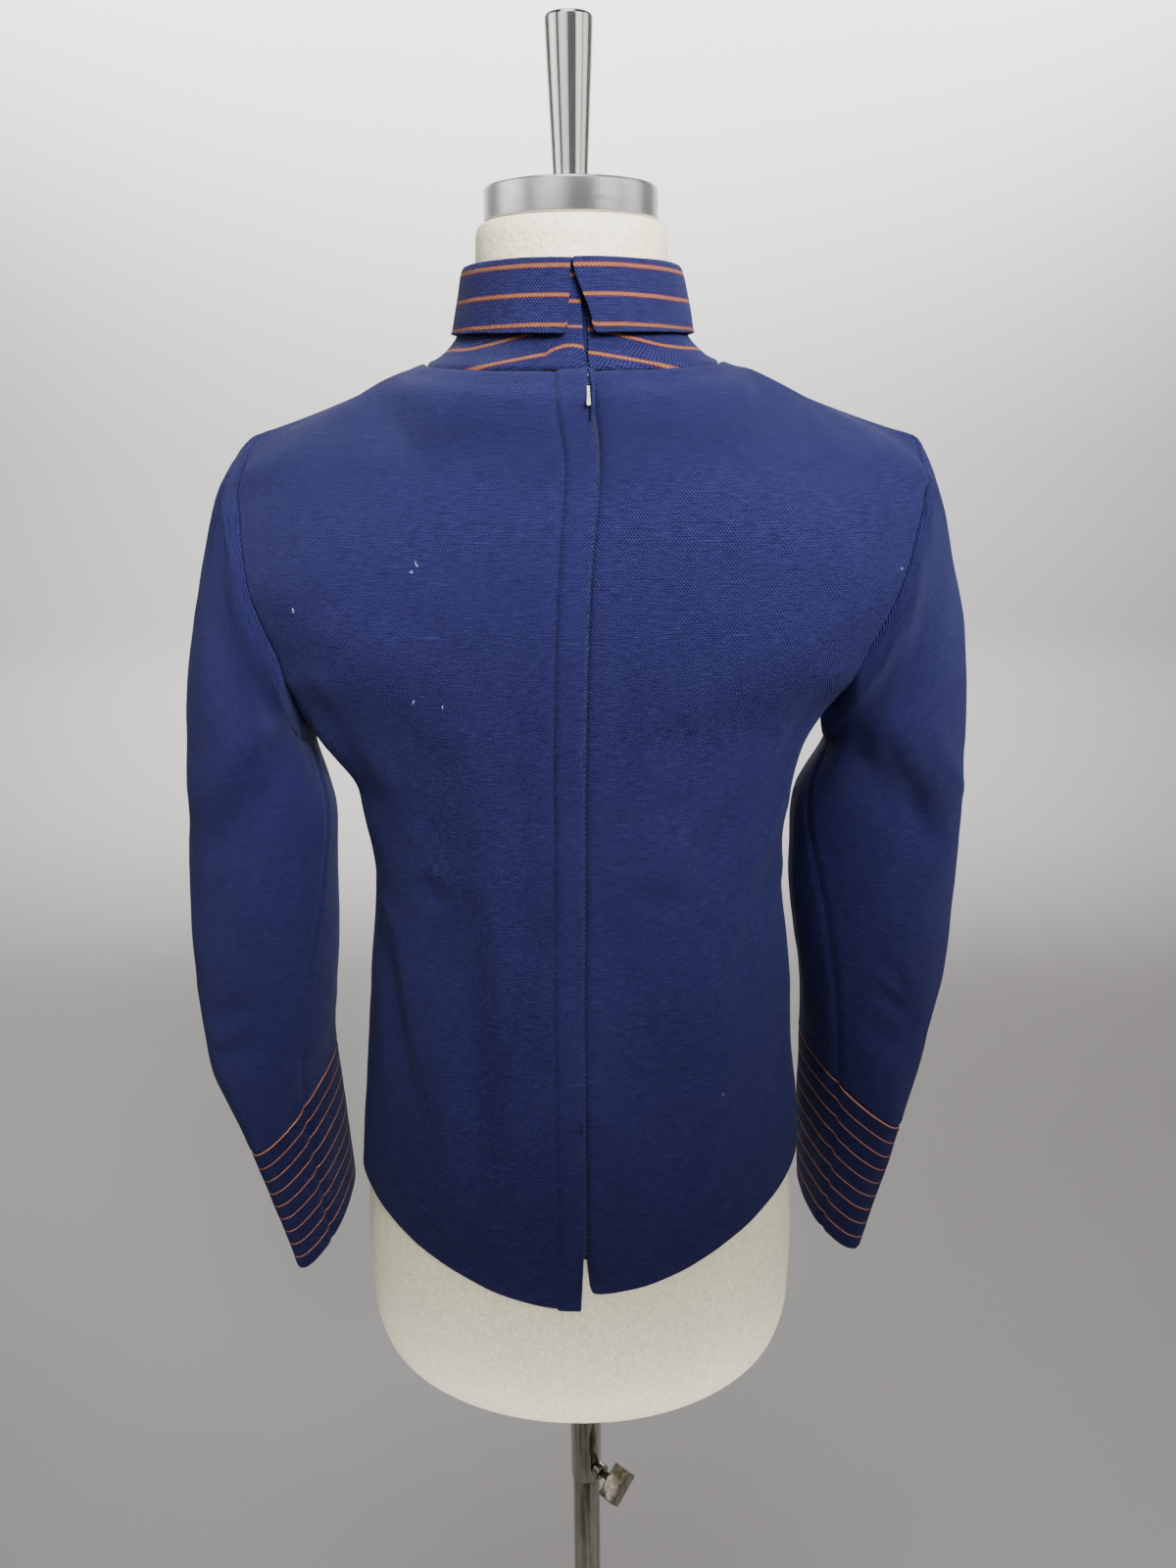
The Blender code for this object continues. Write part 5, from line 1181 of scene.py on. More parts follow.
class BlouseCollar(bpy.types.Operator):
    """Striped mock neck collar, turned down over its own stand"""
    bl_idname = "blouse.collar"
    bl_label = "Collar"

    def execute(self, context):
        panel = blouse_shape()["collar"]
        finish = knit_once("Striped collar knit", STRIPE_SPACING, context.scene.blouse.collar_stripe)
        thing = cloth_object("collar_cloth", panel, finish, "striped_knit",
                             flip=not mesh_faces_out(panel.points[:10], NECK_MIDDLE))
        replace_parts(thing, "collar")
        return {"FINISHED"}


def bare_object(name, mesh, finish, body):
    thing = linked(name, mesh)
    mesh.materials.append(finish)
    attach(thing, body)
    return thing


def slider_frame():
    """Frame at the top of the opening: X sideways, Y down the cloth, Z out of it."""
    left, right, fine = blouse_shape()["laps"]
    rows = [int(np.argmin(np.abs(fine - (fine[-1] - down)))) for down in (0.0, 0.016)]
    high, low = ((left[0][row, 0] + right[0][row, 0]) / 2 for row in rows)
    down = Vector(low - high).normalized()
    out = Vector((1.0, 0.0, 0.0)).cross(down)
    out = (-out if out.y < 0 else out).normalized()
    turn = Matrix((down.cross(out), down, out)).transposed().to_4x4()
    return Matrix.Translation(Vector(high) + down * SLIDER_DOWN) @ turn


def zip_line():
    """Points of the opening's middle line and outward normals, hem to slider."""
    left, right, fine = blouse_shape()["laps"]
    middle = (left[0][:, 0] + right[0][:, 0]) / 2
    normals = left[1][:, 0] + right[1][:, 0]
    normals /= np.linalg.norm(normals, axis=-1, keepdims=True)
    to_right = np.array((-1.0, 0.0, 0.0))
    across = to_right - (to_right * normals).sum(axis=-1, keepdims=True) * normals
    across /= np.linalg.norm(across, axis=-1, keepdims=True)
    return middle, normals, across, fine


class BlouseZip(bpy.types.Operator):
    """Tape under the lap, its teeth, the slider and the pull tab"""
    bl_idname = "blouse.zip"
    bl_label = "Zip"

    def execute(self, context):
        lines = zip_line()
        start = float(body_places()[1][1])
        stop = lines[-1][-1] - SLIDER_DOWN - 0.0085
        depth = CLOTH + TAPE_DEPTH
        ends = self.tape(*lines, start, stop, depth)
        metal = zip_metal()
        self.teeth(*lines, start, stop, depth, ends)
        place = slider_frame()
        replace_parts(self.slider(place, depth, metal), "zip_slider")
        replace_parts(self.pull(place, metal), "zip_pull_tab")
        return {"FINISHED"}

    def tape(self, middle, normals, across, fine, start, stop, depth):
        """Tape down the opening; returns the path of its ends inside the collar."""
        rows = np.concatenate(([start], fine[(fine > start + 0.001) & (fine < stop - 0.001)], [stop]))
        line, normal, sideways = (read_at(rows, fine, values) for values in (middle, normals, across))
        away = with_edges(np.linspace(-TAPE_HALF, TAPE_HALF, 17), steps=(0.0006,))[None, :, None]
        ends = through(np.arange(6.0), np.concatenate((line[-1:], TAPE_RISE)), np.linspace(0, 5, 31)[1:])
        points = np.concatenate((
            line[:, None] + sideways[:, None] * away - normal[:, None] * depth,
            ends[:, None] + np.array((-1.0, 0.0, 0.0)) * away * 0.45 - np.array((0, 0.09, 0)) * np.abs(away)))
        climb = mean_steps(np.concatenate((line[-1:], ends))[:, None], 0)[1:]
        cut = crossed(away[..., 0] + CUT_MARGIN, np.concatenate((rows, rows[-1] + climb))[:, None])
        add_cloth("zip_tape", Panel(points, cut), tape_finish(), "zip_tape", (2 * TAPE_HALF, stop - start),
                  "stretched", ["back_left_cloth", "back_right_cloth"], BODY_MIDDLE, thickness=TAPE_THICK)
        return ends

    def teeth(self, middle, normals, across, fine, start, stop, depth, ends):
        """Teeth down the tape in turn left and right, and small ones up its ends."""
        teeth = bmesh.new()
        for k in range(int((stop - start - 0.004) / TOOTH_PITCH)):
            at = start + 0.003 + k * TOOTH_PITCH
            place, out, aside = (Vector(read_at(at, fine, values)) for values in (middle, normals, across))
            turn = Matrix((aside, out.cross(aside), out)).transposed().to_4x4()
            centre = place - out * (depth - TOOTH_SINK) + aside * (TOOTH_LEAN if k % 2 else -TOOTH_LEAN)
            made = add_block(teeth, Matrix.Translation(centre) @ turn, TOOTH_SIZE)
            soften(teeth, list({edge for vertex in made for edge in vertex.link_edges}), 0.00018, 1)
        for k in range(15):
            end = Vector(ends[min(2 + 2 * k, len(ends) - 1)])
            place = Matrix.Translation(end + Vector((-0.0011 if k % 2 else -0.0019, 0.0006, 0.0)))
            bmesh.ops.create_icosphere(teeth, subdivisions=2, radius=BEAD_RADIUS,
                                       matrix=place @ Matrix.Diagonal(BEAD_SHAPE))
        bare_object("zip_teeth", as_mesh(teeth, "zip_teeth", smooth=False), tape_teeth(), "form")

    def slider(self, place, depth, metal):
        """Body that straddles the teeth, with the arch that holds the pull tab."""
        body = bmesh.new()
        add_block(body, Matrix.Translation((0, SLIDER_DEPTH, -depth - 0.0002)), SLIDER_SIZE)
        soften(body, body.edges[:], 0.0003, 2)
        arch = bmesh.new()
        previous, angle = Vector((0, ARCH_FOOT, -depth + 0.0002)), 0
        bmesh.ops.create_circle(arch, cap_ends=False, segments=14, radius=ARCH_WIRE,
                                matrix=Matrix.Translation(previous))
        edges = arch.edges[:]
        for y, z, turn in (*ARCH, (ARCH[-1][0], -depth + 0.0002, 180)):
            made = bmesh.ops.extrude_edge_only(arch, edges=edges)["geom"]
            verts = [item for item in made if isinstance(item, bmesh.types.BMVert)]
            edges = [item for item in made if isinstance(item, bmesh.types.BMEdge)
                     and all(vertex in verts for vertex in item.verts)]
            point = Vector((0, y, z))
            bmesh.ops.translate(arch, verts=verts, vec=point - previous)
            bmesh.ops.rotate(arch, verts=verts, cent=point,
                             matrix=Matrix.Rotation(-math.radians(turn - angle), 3, "X"))
            previous, angle = point, turn
        add_shape(body, arch)
        body.transform(place)
        mesh = as_mesh(body, "zip_slider_metal", sharp=40)
        return bare_object("zip_slider_metal", mesh, metal, "form")

    def pull(self, place, metal):
        """Slim pull tab with a slotted head, rounded all along its edge."""
        tab = bmesh.new()
        bmesh.ops.create_grid(tab, x_segments=12, y_segments=40, size=0.5)
        for vertex in tab.verts:
            share = vertex.co.y + 0.5
            half = TAB_HALF - 0.0008 * smooth_step(share * 3) + 0.0003 * smooth_step((share - 0.6) * 3)
            round_end = math.sqrt(max(0.0, 1 - max(0.0, (share - 0.955) / 0.045) ** 2))
            round_head = math.sqrt(max(0.0, 1 - max(0.0, (0.04 - share) / 0.04) ** 2))
            vertex.co = (vertex.co.x * 2 * half * max(round_end, 0.15) * max(round_head, 0.3),
                         -0.0005 + share * TAB_LENGTH, 0.0)
        hole = [face for face in tab.faces if abs(face.calc_center_median().x) < SLOT_HALF
                and SLOT_START < face.calc_center_median().y < SLOT_END]
        bmesh.ops.delete(tab, geom=hole, context="FACES")
        bmesh.ops.solidify(tab, geom=tab.faces[:], thickness=TAB_THICK)
        bmesh.ops.translate(tab, verts=tab.verts[:], vec=(0, 0, TAB_THICK / 2))
        bmesh.ops.recalc_face_normals(tab, faces=tab.faces[:])
        soften(tab, [edge for edge in tab.edges if edge.calc_face_angle(0) > math.radians(60)], 0.0002, 2)
        tab.transform(place @ Matrix.Translation(TAB_HINGE) @ Matrix.Rotation(math.radians(TAB_SWAY), 4, "Z"))
        mesh = as_mesh(tab, "zip_pull_metal", sharp=45)
        return bare_object("zip_pull_metal", mesh, metal, "pull_tab")


def tape_finish():
    surface = Surface("Woven zip tape", Specular_IOR_Level=0.25)
    across, along = surface.cut()
    rib = (across * (2 * math.pi / 0.0009)).sine()
    weft = (along * (2 * math.pi / 0.0006)).sine()
    colour = surface.mix(rib * 0.25 + weft * 0.15 + 0.5, (0.006, 0.008, 0.030), (0.016, 0.020, 0.070))
    return surface.finish(colour, 0.85 + rib * 0.05, rib * 0.6 + weft * 0.3, 0.0003, 0.5)


def tape_teeth():
    surface = Surface("Dark zip teeth", Metallic=0.3)
    spots = surface.grain(surface.place(), 1800.0, 2.0)
    colour = surface.mix(spots, (0.012, 0.012, 0.016), (0.05, 0.05, 0.06))
    return surface.finish(colour, 0.35 + spots * 0.2)


def zip_metal():
    surface = Surface("Nickel zip metal", Metallic=1.0)
    wear = surface.grain(surface.place(), 900.0, 3.0)
    colour = surface.mix(wear, (0.22, 0.21, 0.20), (0.42, 0.41, 0.39))
    return surface.finish(colour, 0.16 + wear * 0.16, wear, 0.00005, 0.3)


class BlouseSnags(bpy.types.Operator):
    """Pulled threads and tufts of lint on the left back"""
    bl_idname = "blouse.snags"
    bl_label = "Snags"

    def execute(self, context):
        flat = blouse_shape()["back_left"].points.reshape(-1, 3)
        pale = Surface("Pulled pale thread", Sheen_Weight=0.3)
        wisp = pale.grain(pale.place(), 2500.0, 2.0)
        finish = pale.finish(pale.mix(wisp, (0.07, 0.09, 0.28), (0.32, 0.36, 0.60)), 0.8 + wisp * 0.1)
        tufts = [(0.0907, 1.3070, 0.0034, 40), (0.0868, 1.3102, 0.0034, -35), (0.1612, 1.2825, 0.0034, -70),
                 (0.0942, 1.2291, 0.0012, 60), (0.0751, 1.2266, 0.0016, -75)]
        threads = bmesh.new()
        for x, z, length, lean in tufts:
            spot = Vector(flat[np.argmin((flat[:, 0] - x) ** 2 + (flat[:, 2] - z) ** 2)])
            out = Vector((spot.x * 0.55, 0.9, 0.0)).normalized()
            for strand in range(3):
                self.strand(threads, spot, out, length * (1 - 0.22 * strand),
                            math.radians(lean + 38 * strand - 30))
        bare_object("snag_threads", as_mesh(threads, "snag_threads"), finish, "form")
        return {"FINISHED"}

    def strand(self, threads, spot, out, length, lean):
        """One curled end of thread that leaves the cloth and comes back to it."""
        sideways = Vector((-1.0, 0.0, 0.0)).cross(out).cross(out).normalized()
        up = out.cross(sideways).normalized()
        run = sideways * math.cos(lean) + up * math.sin(lean)
        first = bmesh.ops.create_circle(threads, cap_ends=True, segments=6, radius=0.00015,
                                        matrix=Matrix.Translation(spot - run * length / 2 - out * 0.0004)
                                        @ run.to_track_quat("Z", "Y").to_matrix().to_4x4())
        face = list({face for vertex in first["verts"] for face in vertex.link_faces})
        steps = 8
        for k in range(steps):
            made = bmesh.ops.extrude_face_region(threads, geom=face)
            verts = [item for item in made["geom"] if isinstance(item, bmesh.types.BMVert)]
            bmesh.ops.delete(threads, geom=face, context="FACES_ONLY")
            face = [item for item in made["geom"] if isinstance(item, bmesh.types.BMFace)]
            lift = 0.0019 * (math.sin(math.pi * (k + 1) / steps) - math.sin(math.pi * k / steps))
            bend = up * 0.0004 * math.cos(math.pi * k / steps * 1.5)
            bmesh.ops.translate(threads, verts=verts, vec=run * length / steps + out * lift * 0.6 + bend)


def jersey_finish(settings):
    """Off-white jersey with a felted nap, darker towards its lower edge with painted shade."""
    surface = Surface("Off-white jersey", Sheen_Weight=0.10, Sheen_Roughness=0.5, Specular_IOR_Level=0.12)
    place = surface.place()
    nap = surface.grain(place, 620.0, 3.0, 0.7)
    clumps = surface.grain(place, 220.0, 3.0, 0.6)
    broad = surface.grain(place, 14.0, 2.0)
    _, _, z = surface.parts(place)
    rib = (z * (2 * math.pi / 0.0014)).sine()
    tone = 0.5 + (nap - 0.5) * 2.6 + (clumps - 0.5) * 1.3 + (broad - 0.5) * 0.45
    colour = surface.mix(tone, shade(settings.jersey, 0.78), shade(settings.jersey, 1.10))
    # Painted shade: the cover darkens below its lower roll, towards the sole.
    low = (1 - z.between(0.705, 0.735)) * 0.22
    colour = surface.mix(low, colour, (0.42, 0.39, 0.34))
    height = nap * 0.7 + clumps * 0.8 + rib * 0.02
    return surface.finish(colour, 0.93 + (nap - 0.5) * 0.1, height, 0.0012, 0.9)


class FormBody(bpy.types.Operator):
    """Limbless dress form in its jersey cover"""
    bl_idname = "blouse.form"
    bl_label = "Dress form"

    def execute(self, context):
        columns = column_shares(False)

        def half_rows(side, back):
            rows = [level_row(level, side, back, columns, centred=True) for level in FORM]
            return np.array(rows + list(top_rows(side, back, columns, FORM_SHOULDER, FORM_LOWER, FORM_INSET,
                                                 centred=True)))

        knots = mean_steps(half_rows(1, True)[:, [NECK_COLUMNS]], 0)
        coarse = np.concatenate((knots[:3], np.linspace(knots[3], knots[FORM_UNDERARM], 10),
                                 np.linspace(knots[FORM_UNDERARM], knots[-1], 8)[1:]))
        fine = split(coarse, 5)
        shares = np.arange(len(columns), dtype=float)
        at = split(shares, 4)
        loops = []
        for side in (1, -1):
            quarters = []
            for back in (side > 0, side < 0):
                rows = through(knots, half_rows(side, back), fine)
                rows[..., 1] = np.maximum(rows[..., 1], 0) if back else np.minimum(rows[..., 1], 0)
                quarters.append(across_rows(rows, shares, at))
            start, end = quarters[0][:, -1], quarters[1][:, -1]
            width = np.linalg.norm(end - start, axis=-1)
            plate = []
            for share in np.arange(1, 16) / 16:
                plate.append(start + (end - start) * share)
                plate[-1][:, 0] += side * (0.10 * width * math.sin(math.pi * share))
            loops += [quarters[0][:, :-1], quarters[0][:, -1:], np.stack(plate, axis=1),
                      quarters[1][:, ::-1][:, :-1]]
        loop = np.concatenate(loops, axis=1)
        rows, count = loop.shape[:2]
        shell, seats = laid_grid(np.concatenate((loop, loop[:, :1]), axis=1))
        top = [(j, vertex.co.copy()) for vertex, (i, j) in seats.items() if i == rows - 1 and j < count
               and math.hypot(vertex.co.x, vertex.co.y) < NECK_HALF + 0.001
               and abs(vertex.co.x) < (NECK_HALF - FORM_INSET) + 0.0005]
        self.close_neck(shell, [point for _, point in sorted(top, key=lambda pair: pair[0])])
        bmesh.ops.remove_doubles(shell, verts=shell.verts[:], dist=0.00006)
        sole = [edge for edge in shell.edges if edge.is_boundary and max(v.co.z for v in edge.verts) < 0.7008]
        bmesh.ops.holes_fill(shell, edges=sole)
        bmesh.ops.recalc_face_normals(shell, faces=shell.faces[:])
        thing = bare_object("form_jersey", as_mesh(shell, "form_jersey", sharp=55),
                            jersey_finish(context.scene.stand), "form")
        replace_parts(thing, "dress_form")
        return {"FINISHED"}

    def close_neck(self, shell, start):
        """Neck from the neckline's points up to its top, and the flat that closes it."""
        turns = [math.atan2(point.x / NECK_HALF, point.y / (NECK_BACK_Y if point.y > 0 else -NECK_FRONT_Y))
                 for point in start]
        rows = [[tuple(point) for point in start]]
        for half, back, front, z in FORM_NECK:
            rows.append([(half * math.sin(turn),
                          math.cos(turn) * (back if math.cos(turn) >= 0 else -front), z) for turn in turns])
        rows = np.array(rows)
        knots = mean_steps(rows, 0)
        fine = through(knots, rows, split(knots, 5), level=True)
        neck, _ = laid_grid(np.concatenate((fine, fine[:, :1]), axis=1))
        bmesh.ops.remove_doubles(neck, verts=neck.verts[:], dist=0.00002)
        rim = [edge for edge in neck.edges if edge.is_boundary and min(v.co.z for v in edge.verts) > 1.4905]
        bmesh.ops.holes_fill(neck, edges=rim)
        add_shape(shell, neck)


def spun(profile, steps=96):
    """Turned shape from a profile of (radius, height)."""
    shape = bmesh.new()
    verts = [shape.verts.new((radius, 0.0, height)) for radius, height in profile]
    edges = [shape.edges.new(pair) for pair in zip(verts, verts[1:])]
    bmesh.ops.spin(shape, geom=verts + edges, cent=(0, 0, 0), axis=(0, 0, 1), angle=2 * math.pi, steps=steps,
                   use_merge=True)
    bmesh.ops.remove_doubles(shape, verts=shape.verts[:], dist=0.000002)
    bmesh.ops.recalc_face_normals(shape, faces=shape.faces[:])
    return shape


def rounded(points, radius, steps=4):
    """Profile with its inner corners rounded."""
    made = [points[0]]
    for before, corner, after in zip(points, points[1:], points[2:]):
        corner = Vector(corner)
        back, ahead = Vector(before) - corner, Vector(after) - corner
        cut = min(radius, back.length / 2.2, ahead.length / 2.2)
        start, end = corner + back.normalized() * cut, corner + ahead.normalized() * cut
        for k in range(steps + 1):
            t = k / steps
            made.append(tuple((1 - t)**2 * start + 2 * t * (1 - t) * corner + t**2 * end))
    return made + [points[-1]]


def metal_object(name, shape, finish, body, node):
    thing = bare_object(name, as_mesh(shape, name, sharp=38), finish, body)
    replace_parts(thing, node)


def chrome_finish(settings):
    """Polished chrome with faint rub marks round it and a few pits."""
    surface = Surface("Polished chrome", Metallic=1.0)
    place = surface.place()
    x, y, z = surface.parts(place)
    rub = surface.grain(surface.vector(x * 40.0, y * 40.0, z * 900.0), 1.0, 3.0)
    pits = surface.grain(place, 700.0, 2.0).between(0.70, 0.78)
    haze = surface.grain(place, 60.0, 3.0)
    colour = surface.mix(pits * 0.5, settings.chrome, shade(settings.chrome, 0.45))
    return surface.finish(colour, 0.045 + rub * 0.05 + haze * 0.05 + pits * 0.2, rub + pits, 0.00002, 0.25)


def streaked_finish():
    """Polished steel with long streaks down it, as a pole that slides gets."""
    surface = Surface("Streaked polished steel", Metallic=1.0)
    place = surface.place()
    x, y, z = surface.parts(place)
    streak = surface.grain(surface.vector(x * 420.0, y * 420.0, z * 9.0), 1.0, 2.0)
    sway = surface.grain(surface.vector(x * 160.0, y * 160.0, z * 34.0), 1.0, 2.0, 0.6)
    tone = (streak - 0.5) * 1.6 + (sway - 0.5) * 1.2 + 0.5
    colour = surface.mix(tone, (0.105, 0.092, 0.068), (0.46, 0.43, 0.36))
    return surface.finish(colour, 0.10 + sway * 0.10, streak, 0.00006, 0.4)


def steel_finish(settings):
    """Steel brushed round the cap, with darker handling marks."""
    surface = Surface("Brushed steel", Metallic=1.0)
    place = surface.place()
    x, y, z = surface.parts(place)
    brush = surface.grain(surface.vector(x * 14.0, y * 14.0, z * 2600.0), 1.0, 4.0, 0.6)
    fine = surface.grain(surface.vector(x * 60.0, y * 60.0, z * 5200.0), 1.0, 2.0)
    marks = surface.grain(surface.vector(x * 60.0, y * 60.0, z * 240.0), 1.0, 3.0).between(0.56, 0.75)
    tone = brush * 0.7 + fine * 0.4 - marks * 0.35
    colour = surface.mix(tone, shade(settings.steel, 0.74), shade(settings.steel, 1.3))
    return surface.finish(colour, 0.24 + brush * 0.14 + marks * 0.12, brush + fine * 0.6, 0.00006, 0.35)


def paint_finish(settings):
    surface = Surface("Satin grey paint", Coat_Weight=0.1, Coat_Roughness=0.4)
    place = surface.place()
    peel = surface.grain(place, 420.0, 2.0)
    dust = surface.grain(place, 30.0, 4.0, 0.6)
    _, _, z = surface.parts(place)
    up = z.between(0.004, 0.012)
    colour = surface.mix((dust - 0.3) * 0.5 * up, settings.paint, (0.42, 0.41, 0.39))
    return surface.finish(colour, 0.40 + dust * 0.15, peel, 0.0002, 0.2)


class StandCap(bpy.types.Operator):
    """Brushed steel cap on the neck and the polished finial on it"""
    bl_idname = "blouse.cap"
    bl_label = "Cap and finial"

    def execute(self, context):
        settings = context.scene.stand
        profile = rounded([(0, CAP_TOP), (CAP_RADIUS - 0.0042, CAP_TOP),
                           (CAP_RADIUS - 0.0032, CAP_TOP - 0.0008), (CAP_RADIUS - 0.0004, CAP_TOP - 0.0008),
                           (CAP_RADIUS, CAP_TOP - 0.0022), (CAP_RADIUS, CAP_BOTTOM), (0, CAP_BOTTOM)], 0.0008)
        metal_object("neck_cap_steel", spun(profile, 128), steel_finish(settings), "form",
                     "neck_cap")
        foot = CAP_TOP + FIT_GAP
        head = foot + FINIAL_HEIGHT
        rise = [(0.0108, foot), (0.0104, foot + 0.003), (0.0103, foot + 0.008), (0.0109, foot + 0.022),
                (0.0119, foot + 0.042), (0.0128, foot + 0.060), (0.0134, foot + 0.074),
                (0.0137, head - 0.003)]
        profile = rounded([(0, head - 0.0006), (0.0122, head), (0.0137, head - 0.0012)] + rise[::-1]
                          + [(0, foot)], 0.0009)
        metal_object("finial_chrome", spun(profile), chrome_finish(settings), "form", "finial")
        return {"FINISHED"}


def screw_frame():
    direction = Vector((math.cos(SCREW_TURN), math.sin(SCREW_TURN), 0.0))
    turn = direction.to_track_quat("Z", "Y").to_matrix().to_4x4()
    return Matrix.Translation(Vector((0, 0, SCREW_HEIGHT)) + direction * POLE_RADIUS) @ turn


class StandColumn(bpy.types.Operator):
    """Chrome tube with its flange and boss, the pole that slides in it and the painted base"""
    bl_idname = "blouse.column"
    bl_label = "Tube, pole and base"

    def execute(self, context):
        streaked = streaked_finish()
        flange_top = FORM_SOLE - FIT_GAP
        flange_low = flange_top - FLANGE_THICK
        profile = rounded([(0, flange_top), (FLANGE_RADIUS, flange_top), (FLANGE_RADIUS, flange_low),
                           (TUBE_RADIUS + 0.001, flange_low), (TUBE_RADIUS, flange_low - 0.002),
                           (TUBE_RADIUS, TUBE_END), (TUBE_BORE, TUBE_END), (TUBE_BORE, flange_top - 0.004),
                           (0, flange_top - 0.004)], 0.0005)
        tube = spun(profile, 72)
        boss = spun(rounded(BOSS, 0.0003), 40)
        boss.transform(screw_frame())
        add_shape(tube, boss)
        metal_object("form_tube_chrome", tube, streaked, "column", "form_tube")
        profile = rounded([(0, POLE_TOP), (POLE_RADIUS, POLE_TOP), (POLE_RADIUS, BASE_THICK + 0.0043),
                           (0, BASE_THICK + 0.0043)], 0.0010)
        metal_object("stand_pole_chrome", spun(profile, 72), streaked, "stand", "stand_pole")
        profile = rounded([(0, BASE_THICK + 0.004), (HUB_BORE, BASE_THICK + 0.004), (HUB_BORE, HUB_HEIGHT),
                           (HUB_RADIUS - 0.003, HUB_HEIGHT), (HUB_RADIUS, HUB_HEIGHT - 0.003),
                           (HUB_RADIUS + 0.006, BASE_THICK + 0.004), (BASE_RADIUS - 0.012, BASE_THICK),
                           (BASE_RADIUS - 0.002, BASE_THICK - 0.003), (BASE_RADIUS, 0.005),
                           (BASE_RADIUS, 0.0), (0, 0.0)], 0.0016)
        metal_object("stand_base_paint", spun(profile, 128), paint_finish(context.scene.stand), "stand",
                     "stand_base")
        return {"FINISHED"}


class StandScrew(bpy.types.Operator):
    """Clamp screw with the block that it is turned by"""
    bl_idname = "blouse.screw"
    bl_label = "Clamp screw"

    def execute(self, context):
        streaked = bpy.data.materials["Streaked polished steel"]
        place = screw_frame()
        profile = [(0, FIT_GAP), (SCREW_RADIUS, FIT_GAP)]
        for k in range(THREADS):
            z = THREAD_START + k * THREAD_PITCH
            profile += [(SCREW_RADIUS, z), (SCREW_ROOT, z + THREAD_PITCH / 2)]
        profile += [(SCREW_RADIUS, 0.0145), (0.0038, 0.0150), (0.0038, 0.0172), (0, 0.0172)]
        shape = spun(profile, 40)
        shape.transform(place)
        block = bmesh.new()
        add_block(block, Matrix.Translation((0, 0, BLOCK_OUT)) @ Matrix.Rotation(BLOCK_TURN, 4, "Z"),
                  BLOCK_SIZE)
        soften(block, block.edges[:], 0.0009, 3)
        block.transform(place)
        add_shape(shape, block)
        metal_object("clamp_screw_chrome", shape, streaked, "clamp", "clamp_screw")
        return {"FINISHED"}


Light = namedtuple("Light", "name size power where target colour spread mirrored")
WHITE, WARM, COOL = (1.0, 1.0, 1.0), (1.0, 0.99, 0.95), (0.92, 0.93, 1.0)

# Soft lights, each with its share of the power, its place and where it looks
LIGHTS = [
    Light("key",        (1.0, 0.6), 0.73,  (-0.52, 1.30, 2.02), (0.02, 0.05, 1.44), WHITE, 41, False),
    Light("top",        (0.9, 0.7), 0.26,  (0.05, 0.50, 2.60),  (0, 0.05, 1.3),     WHITE, 80, True),
    Light("left_card",  (1.2, 1.0), 0.070, (0.68, 1.34, 1.92),  (0, 0, 1.5),        COOL, 70, True),
    Light("left_side",  (1.1, 1.0), 0.090, (1.39, 0.17, 1.88),  (0, 0, 1.5),        WARM, 70, True),
    Light("right_card", (0.9, 1.0), 0.060, (-1.15, 0.95, 1.92), (0, 0, 1.5),        WARM, 70, True),
    Light("right_side", (0.8, 1.0), 0.040, (-1.45, 0.10, 1.88), (0, 0, 1.5),        WARM, 70, True),
    Light("front_fill", (1.8, 1.2), 0.50,  (0.5, -1.9, 2.05),   (0, 0, 1.2),        WHITE, 70, False),
    Light("low_fill",   (0.5, 0.2), 0.088, (-0.15, 1.60, 0.56), (0, 0, 0.62),       WHITE, 13, False),
    Light("backdrop",   (4.4, 0.6), 15.0,  (0.0, -2.3, 3.3),    (0, -3.7, 2.1),     WHITE, 115, True),
    Light("rear_wash",  (4.4, 0.6), 2.0,   (0.0, 2.6, 3.3),     (0, 3.7, 2.1),      WHITE, 115, False),
]
# Felt cards: name, size, place, where they face and colour
FLAGS = [
    ("floor_flag", (3.0, 1.9), (0, 1.45, 0.02), (0, 1.45, 1.0), (0.02, 0.02, 0.02)),
    ("rear_flag",  (3.4, 2.3), (0, 2.45, 1.15), (0, 0, 1.15),   (0.32, 0.33, 0.36)),
]
CAMERA_PLACE, CAMERA_PITCH, CAMERA_ROLL = (-0.0067, 0.745, 1.40), math.radians(18.5), math.radians(-0.54)
# Floor from its middle out and up the cove: distance, height
COVE = [(0.0, 0.0), (2.6, 0.0), (3.1, 0.06), (3.45, 0.25), (3.65, 0.6), (3.7, 1.2), (3.7, 4.2)]


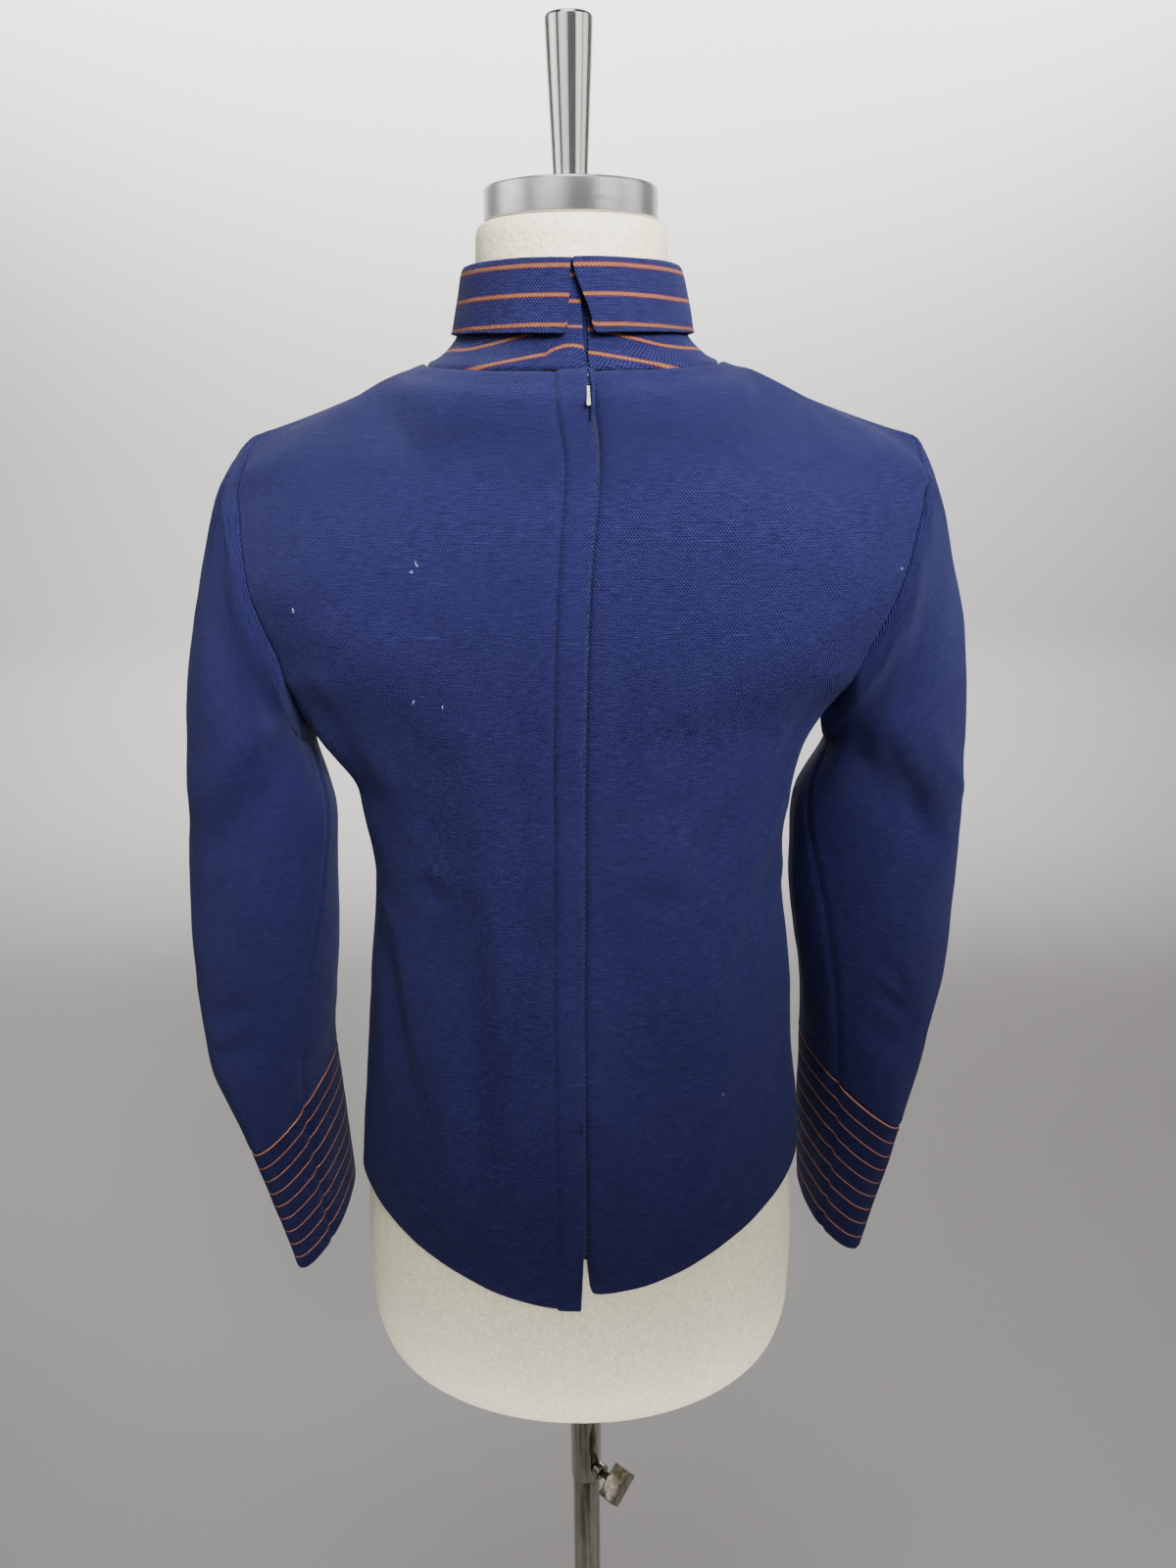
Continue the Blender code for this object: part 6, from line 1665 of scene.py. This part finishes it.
class StageOperator(bpy.types.Operator):
    """Pale floor that curves up all round, soft lights and the camera"""
    bl_idname = "blouse.stage"
    bl_label = "Stage"

    def execute(self, context):
        settings = context.scene.stage
        ground = self.ground(settings.floor)
        lamps = [self.soft_light(light, settings.key) for light in LIGHTS]
        flags = [self.flag(*card) for card in FLAGS]
        world = bpy.data.worlds.new("Soft room")
        world.use_nodes = True
        back = world.node_tree.nodes["Background"]
        back.inputs[0].default_value = (0.90, 0.94, 1.0, 1.0)
        back.inputs[1].default_value = 0.022
        context.scene.world = world
        context.scene.camera = self.camera(settings.lens)
        return {"FINISHED"}

    def ground(self, colour):
        """Floor with its cove, in one turned surface."""
        knots = mean_steps(np.array(COVE)[:, None], 0)
        smooth = through(knots, COVE, split(knots, 8), level=True)
        floor = spun([tuple(point) for point in smooth])
        bmesh.ops.reverse_faces(floor, faces=floor.faces[:])
        ground = linked("floor", as_mesh(floor, "floor"))
        surface = Surface("Pale floor")
        cloud = surface.grain(surface.place(), 0.9, 2.0)
        tone = surface.mix(cloud * 0.5, colour, shade(colour, 1.12))
        ground.data.materials.append(surface.finish(tone, 0.85 + cloud * 0.05))
        ground.location.z = -0.0004
        return ground

    def camera(self, lens):
        """Camera where the photograph was taken from, on the side of the back."""
        eye = bpy.data.cameras.new("photo_camera")
        eye.sensor_fit, eye.sensor_width = "AUTO", 36.0
        eye.lens = lens
        camera = linked("photo_camera", eye)
        ahead = Vector((0, -math.cos(CAMERA_PITCH), -math.sin(CAMERA_PITCH)))
        right = Vector((-1, 0, 0))
        turn = Matrix((right, right.cross(ahead), -ahead)).transposed().to_4x4()
        camera.matrix_world = Matrix.Translation(CAMERA_PLACE) @ turn @ Matrix.Rotation(CAMERA_ROLL, 4, "Z")
        return camera

    def aimed(self, thing, where, target, face):
        thing.location = where
        thing.rotation_euler = (Vector(target) - Vector(where)).to_track_quat(face, "Y").to_euler()
        thing.visible_camera = False
        return thing

    def soft_light(self, light, power):
        data = bpy.data.lights.new(light.name, "AREA")
        data.shape = "RECTANGLE"
        data.size, data.size_y = light.size
        data.energy, data.color, data.spread = power * light.power, light.colour, math.radians(light.spread)
        lamp = self.aimed(linked(light.name, data), light.where, light.target, "-Z")
        lamp.visible_glossy = light.mirrored
        return lamp

    def flag(self, name, size, where, target, colour):
        """Felt card that only polished metal mirrors."""
        card = bmesh.new()
        bmesh.ops.create_grid(card, x_segments=1, y_segments=1, size=0.5)
        bmesh.ops.scale(card, verts=card.verts[:], vec=(*size, 1.0))
        mesh = as_mesh(card, name, smooth=False)
        mesh.materials.append(Surface("Felt of " + name, Base_Color=(*colour, 1.0), Roughness=0.9).material)
        thing = self.aimed(linked(name, mesh), where, target, "Z")
        thing.visible_shadow = thing.visible_diffuse = False
        return thing


class BlousePanel(bpy.types.Panel):
    """Lists the pieces in the sidebar"""
    bl_idname = "VIEW3D_PT_blouse"
    bl_label = "Blouse on a dress form"
    bl_space_type = "VIEW_3D"
    bl_region_type = "UI"
    bl_category = "Blouse"

    def draw(self, context):
        for settings in (context.scene.blouse, context.scene.stand, context.scene.stage):
            for name in settings.__annotations__:
                self.layout.prop(settings, name)
        for operator in OPERATORS:
            self.layout.operator(operator.bl_idname)


SETTINGS = {"blouse": BlouseSettings, "stand": StandSettings, "stage": StageSettings}
OPERATORS = (FormBody, BlouseBacks, BlouseFront, BlouseSleeves, BlouseCuffs, BlouseCollar, BlouseZip,
             BlouseSnags, StandCap, StandColumn, StandScrew, StageOperator)


def register():
    for name, group in SETTINGS.items():
        bpy.utils.register_class(group)
        setattr(bpy.types.Scene, name, PointerProperty(type=group))
    for item in (*OPERATORS, BlousePanel):
        bpy.utils.register_class(item)


def unregister():
    for item in (BlousePanel, *reversed(OPERATORS)):
        bpy.utils.unregister_class(item)
    for name, group in SETTINGS.items():
        delattr(bpy.types.Scene, name)
        bpy.utils.unregister_class(group)


def main():
    register()
    for operator in OPERATORS:
        space, name = operator.bl_idname.split(".")
        getattr(getattr(bpy.ops, space), name)()


if __name__ == "__main__":
    main()
